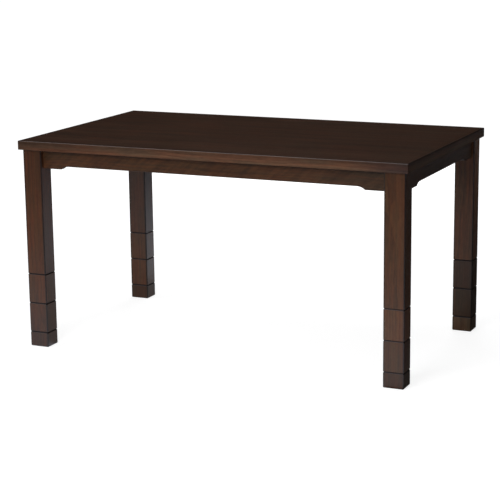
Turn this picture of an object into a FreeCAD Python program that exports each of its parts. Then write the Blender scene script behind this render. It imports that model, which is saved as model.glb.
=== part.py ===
import FreeCAD, Part
import math
import os

# Dining-height kotatsu table, in millimetres. +Z is up, +X runs along the length and the front faces -Y.
# The origin is on the floor, under the middle of the top.

# Top board
TOP_LENGTH = 1350.0
TOP_DEPTH = 800.0
TOP_THICK = 30.0
LIPPING_WIDTH = 8.0
MITRE_GAP = 0.1
TOP_CORNER_RADIUS = 3.0
TOP_ARRIS_RADIUS = 2.5
TOP_UNDER_ARRIS_RADIUS = 1.0
TABLE_HEIGHT = 700.0
OVERHANG_X = 12.0
OVERHANG_Y = 12.0

# Pads between the frame and the top
PAD_THICK = 2.0
PAD_RADIUS = 9.0

# Legs, each an upper leg and three screwed blocks
LEG_WIDTH = 68.0
LEG_DEPTH = 62.0
LEG_ROUND = 3.0
JOINT_BEVEL = 2.5
FOOT_HEIGHT = 50.0
EXTENSION_HEIGHT = 100.0
BOLT_FLAT = 8.0

# Stud and insert nut of each screwed joint
STUD_RADIUS = 4.0
STUD_REACH = 19.0
STUD_ROOT = 30.0
STUD_TIP_BEVEL = 0.8
STUD_CLEARANCE = 0.05
INSERT_WALL = 2.5
INSERT_LENGTH = 15.0
INSERT_SEAT_CLEARANCE = 0.05
TIP_HOLE_CLEARANCE = 0.6
TIP_HOLE_SPARE = 3.0

# Aprons
APRON_HEIGHT = 60.0
APRON_THICK = 22.0
APRON_RISE = 10.0
COVE_RADIUS = 40.0
APRON_ARRIS_RADIUS = 1.0
FRONT_RECESS = 16.0
SIDE_RECESS = 10.0
LONG_APRON_SHOULDER = 66.0
SHORT_APRON_SHOULDER = 75.0

# Dowels between aprons and legs
DOWEL_RADIUS = 4.0
DOWEL_LENGTH = 30.0
DOWEL_CLEARANCE = 0.05
DOWEL_END_GAP = 0.5
DOWEL_BEVEL = 0.8
DOWEL_HEIGHT_SHARES = (0.3, 0.7)

# Rails across the frame, and the crossbars that close the heater's square
RAIL_WIDTH = 40.0
RAIL_HEIGHT = 25.0
OUTER_RAIL_SHARE = 0.68
HEATER_OPENING = 300.0
RAIL_ARRIS_RADIUS = 1.5
TENON_LENGTH = 10.0
TENON_WIDTH = 24.0
TENON_HEIGHT = 13.0
TENON_CLEARANCE = 0.1

# Corner blocks with their hanger bolts and flange nuts
BLOCK_GAP = 5.5
BLOCK_THICK = 25.0
BLOCK_DROP = 8.0
HANGER_RADIUS = 4.0
HANGER_DEPTH_SHARE = 0.5
HANGER_CLEARANCE = 0.05
HANGER_BLOCK_CLEARANCE = 0.5
HANGER_SPARE = 4.0
HANGER_SPACING_SHARE = 0.5
HANGER_TIP_BEVEL = 1.0
NUT_SIDES = 6
NUT_FLATS = 13.0
NUT_HEIGHT = 8.0
NUT_FLANGE_RADIUS = 8.5
NUT_FLANGE_THICK = 1.6
NUT_CROWN_ANGLE = 30.0

# Heater casing
CASING_CLEARANCE = 6.0
CASING_HEIGHT = 58.0
CASING_DROP = 6.0
CASING_WALL = 1.0
CASING_CORNER_RADIUS = 10.0
CASING_LIP = 6.0
EAR_LENGTH = 30.0
EAR_WIDTH = 36.0
EAR_Y_SHARE = 0.3125
EAR_CORNER_RADIUS = 6.0
EAR_HOLE_INSET = 10.0
EAR_HOLE_CLEARANCE = 0.4
VENT_COUNT = 12
VENT_WIDTH = 6.0
VENT_INNER_RADIUS = 46.0
VENT_OUTER_RADIUS = 74.0
SLOT_END_SHARE = 0.48
LOUVRE_COUNT = 7
LOUVRE_PITCH = 16.0
LOUVRE_WIDTH = 5.0
LOUVRE_HEIGHT = 18.0
LOUVRE_RISE = 8.0

# Screws that hang the casing from the rails
SCREW_RADIUS = 2.0
SCREW_LENGTH = 17.0
SCREW_CLEARANCE = 0.05
SCREW_HEAD_RADIUS = 4.5
SCREW_HEAD_HEIGHT = 2.6
SCREW_SLOT_WIDTH = 1.0
SCREW_SLOT_DEPTH = 1.2

# Reflector
REFLECTOR_THICK = 0.8
REFLECTOR_GAP = 1.0
REFLECTOR_RUN = 13.0
REFLECTOR_RISE = 9.0
FAN_HOLE_CLEARANCE = 6.0

# Quartz tubes, their elements and their holders
TUBE_RADIUS = 6.0
TUBE_WALL = 1.0
TUBE_Y_SHARE = 0.25
TUBE_DROP = 11.0
ELEMENT_RADIUS = 2.6
HOLDER_LENGTH = 14.0
HOLDER_WIDTH = 20.0
HOLDER_HEIGHT = 19.0
HOLDER_OVERLAP = 6.0
HOLDER_END_GAP = 5.0
HOLDER_CLEARANCE = 0.05
HOLDER_BEVEL = 1.5

# Thermal cut-out on the reflector
CUTOUT_RADIUS = 8.0
CUTOUT_HEIGHT = 9.0
CUTOUT_FLANGE_LENGTH = 30.0
CUTOUT_FLANGE_WIDTH = 11.0
CUTOUT_FLANGE_THICK = 0.8
CUTOUT_FLANGE_ROUND = 4.0
CUTOUT_BLADE_LENGTH = 9.0
CUTOUT_BLADE_WIDTH = 6.3
CUTOUT_BLADE_THICK = 0.8
CUTOUT_BLADE_DROP = 3.0

# Fan motor and impeller
MOTOR_LENGTH = 54.0
MOTOR_WIDTH = 44.0
MOTOR_HEIGHT = 17.0
STACK_ROUND = 3.0
COIL_LENGTH = 20.0
COIL_WIDTH = 16.0
COIL_HEIGHT = 13.0
COIL_ROUND = 2.0
BEARING_RADIUS = 9.0
BEARING_HEIGHT = 6.0
SHAFT_RADIUS = 2.0
SHAFT_CLEARANCE = 0.05
SHAFT_DEPTH = 18.0
FAN_GAP = 2.0
HUB_RADIUS = 12.0
HUB_HEIGHT = 14.0
BLADE_TIP_RADIUS = 44.0
BLADE_CHORD = 19.0
BLADE_THICK = 1.2
BLADE_PITCH = 33.0
BLADE_COUNT = 6
BLADE_ROOT = 2.0

# Wire guard under the heater
GUARD_WIRE_RADIUS = 1.4
GUARD_WELD = 0.4
GUARD_INSET = 16.0
GUARD_DEPTH = 22.0
GUARD_BEND = 5.0
GUARD_LONG_COUNT = 11
GUARD_LONG_INSET = 8.0
GUARD_CROSS_COUNT = 3
GUARD_CROSS_INSET = 48.0
GUARD_RIM_BEND = 8.0

# Socket on the casing for the removable cord
INLET_LENGTH = 20.0
INLET_WIDTH = 34.0
INLET_HEIGHT = 20.0
INLET_ROUND = 2.0
INLET_WALL = 3.0
INLET_CAVITY_DEPTH = 15.0
INLET_DROP = 9.0
PIN_RADIUS = 1.6
PIN_SPACING = 16.0
PIN_LENGTH = 11.0

# One overrun serves every cut, and one tolerance every comparison
OVERRUN = 1.0
TOLERANCE = 1e-6

# Levels above the floor
FRAME_TOP = TABLE_HEIGHT - TOP_THICK - PAD_THICK
RAIL_UNDERSIDE = FRAME_TOP - RAIL_HEIGHT
APRON_BOTTOM = FRAME_TOP - APRON_HEIGHT
CASING_TOP = FRAME_TOP - CASING_DROP
CASING_BOTTOM = CASING_TOP - CASING_HEIGHT

# Outer faces, seen from the middle of the table
LEG_OUTER_X = TOP_LENGTH / 2 - OVERHANG_X
LEG_OUTER_Y = TOP_DEPTH / 2 - OVERHANG_Y
LEG_INNER_X = LEG_OUTER_X - LEG_WIDTH
LEG_INNER_Y = LEG_OUTER_Y - LEG_DEPTH
LONG_APRON_Y = LEG_OUTER_Y - FRONT_RECESS - APRON_THICK
SHORT_APRON_X = LEG_OUTER_X - SIDE_RECESS - APRON_THICK
HEATER_RAIL_X = (HEATER_OPENING + RAIL_WIDTH) / 2
OUTER_RAIL_X = SHORT_APRON_X * OUTER_RAIL_SHARE
FLAT_REACH = BOLT_FLAT / math.sqrt(2)
BLOCK_HEIGHT = APRON_HEIGHT - APRON_RISE - BLOCK_DROP
HANGER_DEPTH = min(LEG_WIDTH, LEG_DEPTH) * HANGER_DEPTH_SHARE
INSERT_RADIUS = STUD_RADIUS + INSERT_WALL

# Heater, from the square opening between the rails inwards
CASING_SIZE = HEATER_OPENING - 2 * CASING_CLEARANCE
GUARD_SIZE = CASING_SIZE - 2 * GUARD_INSET
REFLECTOR_FLAT = CASING_SIZE - 2 * REFLECTOR_RUN
EAR_Y = CASING_SIZE * EAR_Y_SHARE
TUBE_Y = CASING_SIZE * TUBE_Y_SHARE
TUBE_LENGTH = REFLECTOR_FLAT - 2 * (HOLDER_END_GAP + HOLDER_LENGTH - HOLDER_OVERLAP)
FAN_HOLE_RADIUS = BLADE_TIP_RADIUS + FAN_HOLE_CLEARANCE
CUTOUT_X = (FAN_HOLE_RADIUS + REFLECTOR_FLAT / 2) / 2

CORNERS = {
    "front_left": (-1, -1),
    "front_right": (1, -1),
    "back_left": (-1, 1),
    "back_right": (1, 1),
}
SECTIONS = (
    ("extension_upper", FOOT_HEIGHT + EXTENSION_HEIGHT, EXTENSION_HEIGHT),
    ("extension_lower", FOOT_HEIGHT, EXTENSION_HEIGHT),
    ("foot", 0.0, FOOT_HEIGHT),
)
LEG_BOTTOM = FOOT_HEIGHT + 2 * EXTENSION_HEIGHT
X_AXIS = FreeCAD.Vector(1, 0, 0)
Y_AXIS = FreeCAD.Vector(0, 1, 0)
Z_AXIS = FreeCAD.Vector(0, 0, 1)
ORIGIN = FreeCAD.Vector(0, 0, 0)


def vec(x, y, z):
    return FreeCAD.Vector(x, y, z)


def box(x_low, x_high, y_low, y_high, z_low, z_high):
    """A box between two corners."""
    return Part.makeBox(x_high - x_low, y_high - y_low, z_high - z_low, vec(x_low, y_low, z_low))


def slab(width, depth, z_low, z_high):
    """A box centred on the Z axis."""
    return box(-width / 2, width / 2, -depth / 2, depth / 2, z_low, z_high)


def rod(radius, start, direction, length):
    return Part.makeCylinder(radius, length, start, direction)


def edges_along(shape, axis):
    """The straight edges of a shape that run along an axis."""
    found = []
    for edge in shape.Edges:
        if not isinstance(edge.Curve, Part.Line):
            continue
        if abs(edge.Curve.Direction.cross(axis).Length) < TOLERANCE:
            found.append(edge)
    return found


def edges_at_level(shape, level):
    """The edges of a shape that lie flat at one height."""
    found = []
    for edge in shape.Edges:
        span = edge.BoundBox
        if span.ZLength < TOLERANCE and abs(span.ZMin - level) < TOLERANCE:
            found.append(edge)
    return found


def rounded(shape, radius, axis):
    return shape.makeFillet(radius, edges_along(shape, axis))


def mirrored(shape, sign_x, sign_y):
    """A shape made at the back right corner, carried to another corner."""
    placed = shape
    if sign_x < 0:
        placed = placed.mirror(ORIGIN, X_AXIS)
    if sign_y < 0:
        placed = placed.mirror(ORIGIN, Y_AXIS)
    return placed


def save(name, *shapes):
    """Writes one node. Each of its pieces stays a separate solid."""
    solids = [solid for shape in shapes for solid in shape.Solids]
    for solid in solids:
        if not solid.isValid() or solid.Volume <= 0:
            raise ValueError(name + " holds a bad solid")
    whole = solids[0] if len(solids) == 1 else Part.makeCompound(solids)
    whole.exportStep(os.path.join("parts", name + ".step"))


def make_top():
    """The veneered panel and the four mitred strips that edge it."""
    underside = TABLE_HEIGHT - TOP_THICK
    board = rounded(slab(TOP_LENGTH, TOP_DEPTH, underside, TABLE_HEIGHT), TOP_CORNER_RADIUS, Z_AXIS)
    board = board.makeFillet(TOP_ARRIS_RADIUS, edges_at_level(board, TABLE_HEIGHT))
    board = board.makeFillet(TOP_UNDER_ARRIS_RADIUS, edges_at_level(board, underside))
    panel_length = TOP_LENGTH - 2 * LIPPING_WIDTH
    panel_depth = TOP_DEPTH - 2 * LIPPING_WIDTH
    panel = slab(panel_length, panel_depth, underside, TABLE_HEIGHT)
    frame = board.cut(panel)
    strips = [frame.common(mitre_wedge(sign, along_x)) for along_x in (True, False) for sign in (-1, 1)]
    save("top_panel", panel)
    save("top_edge_lipping", *strips)


def mitre_wedge(sign, along_x):
    """The space of one edge strip, cut at 45 degrees through the corners of the top."""
    half_x = TOP_LENGTH / 2
    half_y = TOP_DEPTH / 2
    reach = 2 * LIPPING_WIDTH
    glue_line = MITRE_GAP / math.sqrt(2)
    if along_x:
        outline = [
            (-half_x - OVERRUN + glue_line, half_y + OVERRUN),
            (half_x + OVERRUN - glue_line, half_y + OVERRUN),
            (half_x - reach - glue_line, half_y - reach),
            (-half_x + reach + glue_line, half_y - reach),
        ]
    else:
        outline = [
            (half_x + OVERRUN, half_y + OVERRUN - glue_line),
            (half_x + OVERRUN, -half_y - OVERRUN + glue_line),
            (half_x - reach, -half_y + reach + glue_line),
            (half_x - reach, half_y - reach - glue_line),
        ]
    low = TABLE_HEIGHT - TOP_THICK - OVERRUN
    points = [vec(sign * x, sign * y, low) for x, y in outline]
    face = Part.Face(Part.makePolygon(points + points[:1]))
    return face.extrude(vec(0, 0, TOP_THICK + 2 * OVERRUN))


def post(z_low, z_high, bevel_top):
    """A length of leg at the back right corner, with rounded edges and bevelled ends."""
    shape = box(LEG_INNER_X, LEG_OUTER_X, LEG_INNER_Y, LEG_OUTER_Y, z_low, z_high)
    shape = rounded(shape, LEG_ROUND, Z_AXIS)
    ends = edges_at_level(shape, z_low)
    if bevel_top:
        ends += edges_at_level(shape, z_high)
    return shape.makeChamfer(JOINT_BEVEL, ends)


def leg_axis(z):
    """A point on the middle line of the back right leg."""
    return vec((LEG_INNER_X + LEG_OUTER_X) / 2, (LEG_INNER_Y + LEG_OUTER_Y) / 2, z)


def socket(z_mouth):
    """The stepped hole, open below, that takes an insert nut and the tip of a stud."""
    seat = rod(
        INSERT_RADIUS + INSERT_SEAT_CLEARANCE,
        leg_axis(z_mouth - OVERRUN),
        Z_AXIS,
        INSERT_LENGTH + OVERRUN,
    )
    tip_length = STUD_REACH + TIP_HOLE_SPARE
    tip = rod(STUD_RADIUS + TIP_HOLE_CLEARANCE, leg_axis(z_mouth), Z_AXIS, tip_length)
    return seat.fuse(tip)


def insert_nut(z_mouth):
    sleeve = rod(INSERT_RADIUS, leg_axis(z_mouth), Z_AXIS, INSERT_LENGTH)
    thread = rod(
        STUD_RADIUS + STUD_CLEARANCE, leg_axis(z_mouth - OVERRUN), Z_AXIS, INSERT_LENGTH + 2 * OVERRUN
    )
    return sleeve.cut(thread)


def stud(z_joint):
    """A stud that stands in the block below the joint and reaches into the nut above it."""
    shape = rod(STUD_RADIUS, leg_axis(z_joint - STUD_ROOT), Z_AXIS, STUD_ROOT + STUD_REACH)
    tip = edges_at_level(shape, z_joint + STUD_REACH)
    return shape.makeChamfer(STUD_TIP_BEVEL, tip)


def make_leg_blocks():
    """The two extensions and the foot of each leg, with their studs and insert nuts."""
    for section, z_low, height in SECTIONS:
        z_high = z_low + height
        block = post(z_low, z_high, True)
        root = rod(
            STUD_RADIUS + STUD_CLEARANCE,
            leg_axis(z_high - STUD_ROOT),
            Z_AXIS,
            STUD_ROOT + OVERRUN,
        )
        block = block.cut(root)
        takes_stud = z_low > 0
        if takes_stud:
            block = block.cut(socket(z_low))
        for corner, signs in CORNERS.items():
            name = corner + "_" + section
            save(name, mirrored(block, *signs))
            save(name + "_stud", mirrored(stud(z_high), *signs))
            if takes_stud:
                save(name + "_insert_nut", mirrored(insert_nut(z_low), *signs))


def hanger_line():
    """Start in the leg, direction and length of a hanger bolt, at the height of the floor."""
    inward = vec(-1, -1, 0).normalize()
    start = vec(LEG_INNER_X, LEG_INNER_Y, 0) - inward * (FLAT_REACH + HANGER_DEPTH)
    length = HANGER_DEPTH + FLAT_REACH + BLOCK_GAP + BLOCK_THICK + NUT_HEIGHT + HANGER_SPARE
    return start, inward, length


def hanger_levels():
    """Heights of the two hanger bolts of a leg."""
    middle = FRAME_TOP - BLOCK_DROP - BLOCK_HEIGHT / 2
    half_spacing = BLOCK_HEIGHT * HANGER_SPACING_SHARE / 2
    return (middle - half_spacing, middle + half_spacing)


def flat_wedge():
    """The corner cut from the leg's inner edge, so that the hanger bolts leave a flat."""
    corner = [
        vec(LEG_INNER_X - OVERRUN, LEG_INNER_Y - OVERRUN, APRON_BOTTOM),
        vec(LEG_INNER_X + BOLT_FLAT + OVERRUN, LEG_INNER_Y - OVERRUN, APRON_BOTTOM),
        vec(LEG_INNER_X - OVERRUN, LEG_INNER_Y + BOLT_FLAT + OVERRUN, APRON_BOTTOM),
    ]
    return Part.Face(Part.makePolygon(corner + corner[:1])).extrude(vec(0, 0, APRON_HEIGHT + OVERRUN))


def make_legs():
    """The upper legs and the insert nuts in their lower ends."""
    leg = post(LEG_BOTTOM, FRAME_TOP, False).cut(socket(LEG_BOTTOM))
    leg = leg.cut(flat_wedge())
    start, inward, length = hanger_line()
    for level in hanger_levels():
        hole = rod(HANGER_RADIUS + HANGER_CLEARANCE, start + Z_AXIS * level, inward, length)
        leg = leg.cut(hole)
    for hole in dowel_rods(DOWEL_RADIUS + DOWEL_CLEARANCE, DOWEL_LENGTH + 2 * DOWEL_END_GAP):
        leg = leg.cut(hole)
    for name, signs in CORNERS.items():
        save("leg_" + name, mirrored(leg, *signs))
    nut = insert_nut(LEG_BOTTOM)
    save("leg_insert_nuts", *[mirrored(nut, *signs) for signs in CORNERS.values()])


def dowel_rods(radius, length):
    """Rods of the back right leg's four dowels, half in the leg and half in the aprons."""
    rods = []
    for share in DOWEL_HEIGHT_SHARES:
        level = APRON_BOTTOM + APRON_HEIGHT * share
        long_start = vec(LEG_INNER_X - length / 2, LONG_APRON_Y + APRON_THICK / 2, level)
        short_start = vec(SHORT_APRON_X + APRON_THICK / 2, LEG_INNER_Y - length / 2, level)
        rods.append(rod(radius, long_start, X_AXIS, length))
        rods.append(rod(radius, short_start, Y_AXIS, length))
    return rods


def make_dowels():
    dowels = []
    for dowel in dowel_rods(DOWEL_RADIUS, DOWEL_LENGTH):
        ends = [e for e in dowel.Edges if isinstance(e.Curve, Part.Circle)]
        beaded = dowel.makeChamfer(DOWEL_BEVEL, ends)
        dowels += [mirrored(beaded, *signs) for signs in CORNERS.values()]
    save("apron_dowels", *dowels)


def apron_blank(half_length, shoulder, y_inner):
    """An apron along X, behind the plane y_inner, whose lower edge rises between two coved shoulders."""
    middle = APRON_BOTTOM + APRON_RISE
    run = math.sqrt(COVE_RADIUS**2 - (COVE_RADIUS - APRON_RISE) ** 2)
    half_angle = math.asin(run / COVE_RADIUS) / 2
    corner_x = half_length - shoulder
    cove_x = corner_x - run
    bulge_x = cove_x + COVE_RADIUS * math.sin(half_angle)
    bulge_z = middle - COVE_RADIUS * (1 - math.cos(half_angle))

    def at(x, z):
        return vec(x, y_inner, z)

    edges = [
        Part.makeLine(at(-half_length, FRAME_TOP), at(-half_length, APRON_BOTTOM)),
        Part.makeLine(at(-half_length, APRON_BOTTOM), at(-corner_x, APRON_BOTTOM)),
        Part.Arc(at(-corner_x, APRON_BOTTOM), at(-bulge_x, bulge_z), at(-cove_x, middle)).toShape(),
        Part.makeLine(at(-cove_x, middle), at(cove_x, middle)),
        Part.Arc(at(cove_x, middle), at(bulge_x, bulge_z), at(corner_x, APRON_BOTTOM)).toShape(),
        Part.makeLine(at(corner_x, APRON_BOTTOM), at(half_length, APRON_BOTTOM)),
        Part.makeLine(at(half_length, APRON_BOTTOM), at(half_length, FRAME_TOP)),
        Part.makeLine(at(half_length, FRAME_TOP), at(-half_length, FRAME_TOP)),
    ]
    blank = Part.Face(Part.Wire(edges)).extrude(vec(0, APRON_THICK, 0))
    lower = []
    for edge in blank.Edges:
        span = edge.BoundBox
        if span.YLength < TOLERANCE < span.XLength and span.ZMax < middle + TOLERANCE:
            lower.append(edge)
    return blank.makeFillet(APRON_ARRIS_RADIUS, lower)


def make_aprons():
    long_apron = apron_blank(LEG_INNER_X, LONG_APRON_SHOULDER, LONG_APRON_Y)
    short_apron = apron_blank(LEG_INNER_Y, SHORT_APRON_SHOULDER, SHORT_APRON_X)
    short_apron.rotate(ORIGIN, Z_AXIS, -90)
    holes = dowel_rods(DOWEL_RADIUS + DOWEL_CLEARANCE, DOWEL_LENGTH + 2 * DOWEL_END_GAP)
    for hole in holes:
        long_apron = long_apron.cut(hole).cut(mirrored(hole, -1, 1))
        short_apron = short_apron.cut(hole).cut(mirrored(hole, 1, -1))
    for x in rail_places():
        long_apron = long_apron.cut(tenon(x, LONG_APRON_Y, TENON_CLEARANCE))
    save("apron_back", long_apron)
    save("apron_front", mirrored(long_apron, 1, -1))
    save("apron_right", short_apron)
    save("apron_left", mirrored(short_apron, -1, 1))


def rail_places():
    """Middles of the four rails along X."""
    return (-OUTER_RAIL_X, -HEATER_RAIL_X, HEATER_RAIL_X, OUTER_RAIL_X)


def tenon(x, y_shoulder, clearance):
    """A stub tenon that stands out along +Y from the end of a rail, or the mortise for it."""
    middle = FRAME_TOP - RAIL_HEIGHT / 2
    half_width = TENON_WIDTH / 2 + clearance
    half_height = TENON_HEIGHT / 2 + clearance
    return box(
        x - half_width,
        x + half_width,
        y_shoulder - OVERRUN,
        y_shoulder + TENON_LENGTH + clearance,
        middle - half_height,
        middle + half_height,
    )


def bar_along_y(x, half_length):
    """A rail along Y with a tenon at each end."""
    bar = box(x - RAIL_WIDTH / 2, x + RAIL_WIDTH / 2, -half_length, half_length, RAIL_UNDERSIDE, FRAME_TOP)
    bar = rounded(bar, RAIL_ARRIS_RADIUS, Y_AXIS)
    end = tenon(x, half_length, 0)
    return bar.fuse([end, end.mirror(ORIGIN, Y_AXIS)]).removeSplitter()


def ear_holes():
    """Places of the four holes in the casing's ears."""
    x = CASING_SIZE / 2 + EAR_LENGTH - EAR_HOLE_INSET
    return [(sign_x * x, sign_y * EAR_Y) for sign_x in (-1, 1) for sign_y in (-1, 1)]


def make_rails():
    """Four rails across the frame, and two crossbars that close the heater's square."""
    crossbar = bar_along_y(HEATER_RAIL_X, HEATER_OPENING / 2)
    crossbar.rotate(ORIGIN, Z_AXIS, 90)
    rails = [bar_along_y(x, LONG_APRON_Y) for x in rail_places()]
    for number, x in enumerate(rail_places()):
        if abs(x) > HEATER_RAIL_X:
            continue
        for y in (-HEATER_RAIL_X, HEATER_RAIL_X):
            mortise = tenon(y, HEATER_OPENING / 2, TENON_CLEARANCE)
            mortise.rotate(ORIGIN, Z_AXIS, -90 if x > 0 else 90)
            rails[number] = rails[number].cut(mortise)
        for hole_x, hole_y in ear_holes():
            if hole_x * x < 0:
                continue
            start = vec(hole_x, hole_y, RAIL_UNDERSIDE - OVERRUN)
            pilot = rod(SCREW_RADIUS + SCREW_CLEARANCE, start, Z_AXIS, SCREW_LENGTH + OVERRUN)
            rails[number] = rails[number].cut(pilot)
    save("frame_rails", *rails, crossbar, crossbar.mirror(ORIGIN, Y_AXIS))


def make_corner_blocks():
    """Diagonal blocks between the aprons, with two hanger bolts and two flange nuts each."""
    start, inward, length = hanger_line()
    face_distance = HANGER_DEPTH + FLAT_REACH + BLOCK_GAP
    near = start + inward * face_distance
    near_sum = near.x + near.y
    far_sum = near_sum - BLOCK_THICK * math.sqrt(2)
    z_low = FRAME_TOP - BLOCK_DROP - BLOCK_HEIGHT
    outline = [
        vec(near_sum - LONG_APRON_Y, LONG_APRON_Y, z_low),
        vec(far_sum - LONG_APRON_Y, LONG_APRON_Y, z_low),
        vec(SHORT_APRON_X, far_sum - SHORT_APRON_X, z_low),
        vec(SHORT_APRON_X, near_sum - SHORT_APRON_X, z_low),
    ]
    block = Part.Face(Part.makePolygon(outline + outline[:1])).extrude(vec(0, 0, BLOCK_HEIGHT))
    bolts = []
    nuts = []
    for level in hanger_levels():
        foot = start + Z_AXIS * level
        block = block.cut(rod(HANGER_RADIUS + HANGER_BLOCK_CLEARANCE, foot, inward, length))
        bolt = rod(HANGER_RADIUS, foot, inward, length)
        tip = foot + inward * length
        far_end = []
        for edge in bolt.Edges:
            if isinstance(edge.Curve, Part.Circle) and edge.Curve.Center.isEqual(tip, TOLERANCE):
                far_end.append(edge)
        bolts.append(bolt.makeChamfer(HANGER_TIP_BEVEL, far_end))
        nuts.append(flange_nut(foot + inward * (face_distance + BLOCK_THICK), inward))
    corners = CORNERS.values()
    save("corner_blocks", *[mirrored(block, *signs) for signs in corners])
    save("hanger_bolts", *[mirrored(bolt, *signs) for bolt in bolts for signs in corners])
    save("flange_nuts", *[mirrored(nut, *signs) for nut in nuts for signs in corners])


def flange_nut(seat, direction):
    """A hexagon nut on a round flange, standing on its seat along a direction."""
    corner_reach = NUT_FLATS / 2 / math.cos(math.pi / NUT_SIDES)
    turns = [2 * math.pi * k / NUT_SIDES for k in range(NUT_SIDES)]
    points = [vec(corner_reach * math.cos(turn), corner_reach * math.sin(turn), 0) for turn in turns]
    prism = Part.Face(Part.makePolygon(points + points[:1])).extrude(vec(0, 0, NUT_HEIGHT))
    crown_foot = NUT_FLATS / 2 + NUT_HEIGHT / math.tan(math.radians(NUT_CROWN_ANGLE))
    crown = Part.makeCone(crown_foot, NUT_FLATS / 2, NUT_HEIGHT, ORIGIN, Z_AXIS)
    flange = rod(NUT_FLANGE_RADIUS, ORIGIN, Z_AXIS, NUT_FLANGE_THICK)
    hole = rod(HANGER_RADIUS + HANGER_CLEARANCE, vec(0, 0, -OVERRUN), Z_AXIS, NUT_HEIGHT + 2 * OVERRUN)
    nut = prism.common(crown).fuse(flange).cut(hole)
    turn = FreeCAD.Rotation(Z_AXIS, direction)
    nut.Placement = FreeCAD.Placement(seat, turn)
    return nut


def make_pads():
    """Pads on the four legs and on the middle of the long aprons."""
    leg_top = leg_axis(FRAME_TOP)
    apron_middle = LONG_APRON_Y + APRON_THICK / 2
    places = [(sign_x * leg_top.x, sign_y * leg_top.y) for sign_x, sign_y in CORNERS.values()]
    places += [(0, -apron_middle), (0, apron_middle)]
    pads = [rod(PAD_RADIUS, vec(x, y, FRAME_TOP), Z_AXIS, PAD_THICK) for x, y in places]
    save("top_pads", *pads)


def make_casing():
    """A square steel pan, open below, with an inner lip, vents, louvres and four ears."""
    outer = rounded(slab(CASING_SIZE, CASING_SIZE, CASING_BOTTOM, CASING_TOP), CASING_CORNER_RADIUS, Z_AXIS)
    inner_size = CASING_SIZE - 2 * CASING_WALL
    inner = slab(inner_size, inner_size, CASING_BOTTOM + CASING_WALL, CASING_TOP - CASING_WALL)
    inner = rounded(inner, CASING_CORNER_RADIUS - CASING_WALL, Z_AXIS)
    mouth_size = inner_size - 2 * CASING_LIP
    mouth = slab(mouth_size, mouth_size, CASING_BOTTOM - OVERRUN, CASING_BOTTOM + 2 * CASING_WALL)
    casing = outer.cut(inner).cut(rounded(mouth, GUARD_RIM_BEND, Z_AXIS))
    for sign in (-1, 1):
        for y in (-EAR_Y, EAR_Y):
            casing = casing.fuse(casing_ear(sign, y))
    for k in range(VENT_COUNT):
        angle = 360 / VENT_COUNT * k
        slot = box(
            VENT_INNER_RADIUS,
            VENT_OUTER_RADIUS,
            -VENT_WIDTH / 2,
            VENT_WIDTH / 2,
            CASING_TOP - 2 * CASING_WALL,
            CASING_TOP + OVERRUN,
        )
        slot = slot.makeFillet(VENT_WIDTH * SLOT_END_SHARE, edges_along(slot, Z_AXIS))
        slot.rotate(ORIGIN, Z_AXIS, angle)
        casing = casing.cut(slot)
    for k in range(LOUVRE_COUNT):
        x = (k - (LOUVRE_COUNT - 1) / 2) * LOUVRE_PITCH
        z_low = CASING_BOTTOM + LOUVRE_RISE
        slot = box(
            x - LOUVRE_WIDTH / 2,
            x + LOUVRE_WIDTH / 2,
            -CASING_SIZE / 2 - OVERRUN,
            CASING_SIZE / 2 + OVERRUN,
            z_low,
            z_low + LOUVRE_HEIGHT,
        )
        casing = casing.cut(slot.makeFillet(LOUVRE_WIDTH * SLOT_END_SHARE, edges_along(slot, Y_AXIS)))
    save("heater_casing", casing.removeSplitter())


def casing_ear(sign, y):
    """A flat tab that the casing hangs by, against the underside of a rail."""
    start = CASING_SIZE / 2 - CASING_WALL
    end = CASING_SIZE / 2 + EAR_LENGTH
    ear_bottom = RAIL_UNDERSIDE - CASING_WALL
    ear = box(start, end, y - EAR_WIDTH / 2, y + EAR_WIDTH / 2, ear_bottom, RAIL_UNDERSIDE)
    outer = [edge for edge in edges_along(ear, Z_AXIS) if abs(edge.BoundBox.XMin - end) < TOLERANCE]
    ear = ear.makeFillet(EAR_CORNER_RADIUS, outer)
    hole_start = vec(end - EAR_HOLE_INSET, y, ear_bottom - OVERRUN)
    hole_radius = SCREW_RADIUS + EAR_HOLE_CLEARANCE
    ear = ear.cut(rod(hole_radius, hole_start, Z_AXIS, CASING_WALL + 2 * OVERRUN))
    return mirrored(ear, sign, 1)


def make_casing_screws():
    """Slotted screws up through the ears into the rails."""
    screws = []
    ear_bottom = RAIL_UNDERSIDE - CASING_WALL
    for x, y in ear_holes():
        shank = rod(SCREW_RADIUS, vec(x, y, ear_bottom), Z_AXIS, SCREW_LENGTH)
        head = rod(SCREW_HEAD_RADIUS, vec(x, y, ear_bottom - SCREW_HEAD_HEIGHT), Z_AXIS, SCREW_HEAD_HEIGHT)
        low_rim = edges_at_level(head, ear_bottom - SCREW_HEAD_HEIGHT)
        head = head.makeFillet(SCREW_HEAD_HEIGHT / 2, low_rim)
        slot = box(
            x - SCREW_HEAD_RADIUS,
            x + SCREW_HEAD_RADIUS,
            y - SCREW_SLOT_WIDTH / 2,
            y + SCREW_SLOT_WIDTH / 2,
            ear_bottom - SCREW_HEAD_HEIGHT - OVERRUN,
            ear_bottom - SCREW_HEAD_HEIGHT + SCREW_SLOT_DEPTH,
        )
        screws.append(shank.fuse(head).cut(slot))
    save("heater_screws", *screws)


def reflector_level():
    """Height of the underside of the reflector's flat middle. Its rim lies on the guard's rim."""
    return rim_level() + GUARD_WIRE_RADIUS + REFLECTOR_RISE


def square(half, level):
    """The corners of a square, in order, around the Z axis."""
    turns = ((-1, -1), (1, -1), (1, 1), (-1, 1))
    return [vec(sign_x * half, sign_y * half, level) for sign_x, sign_y in turns]


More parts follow.
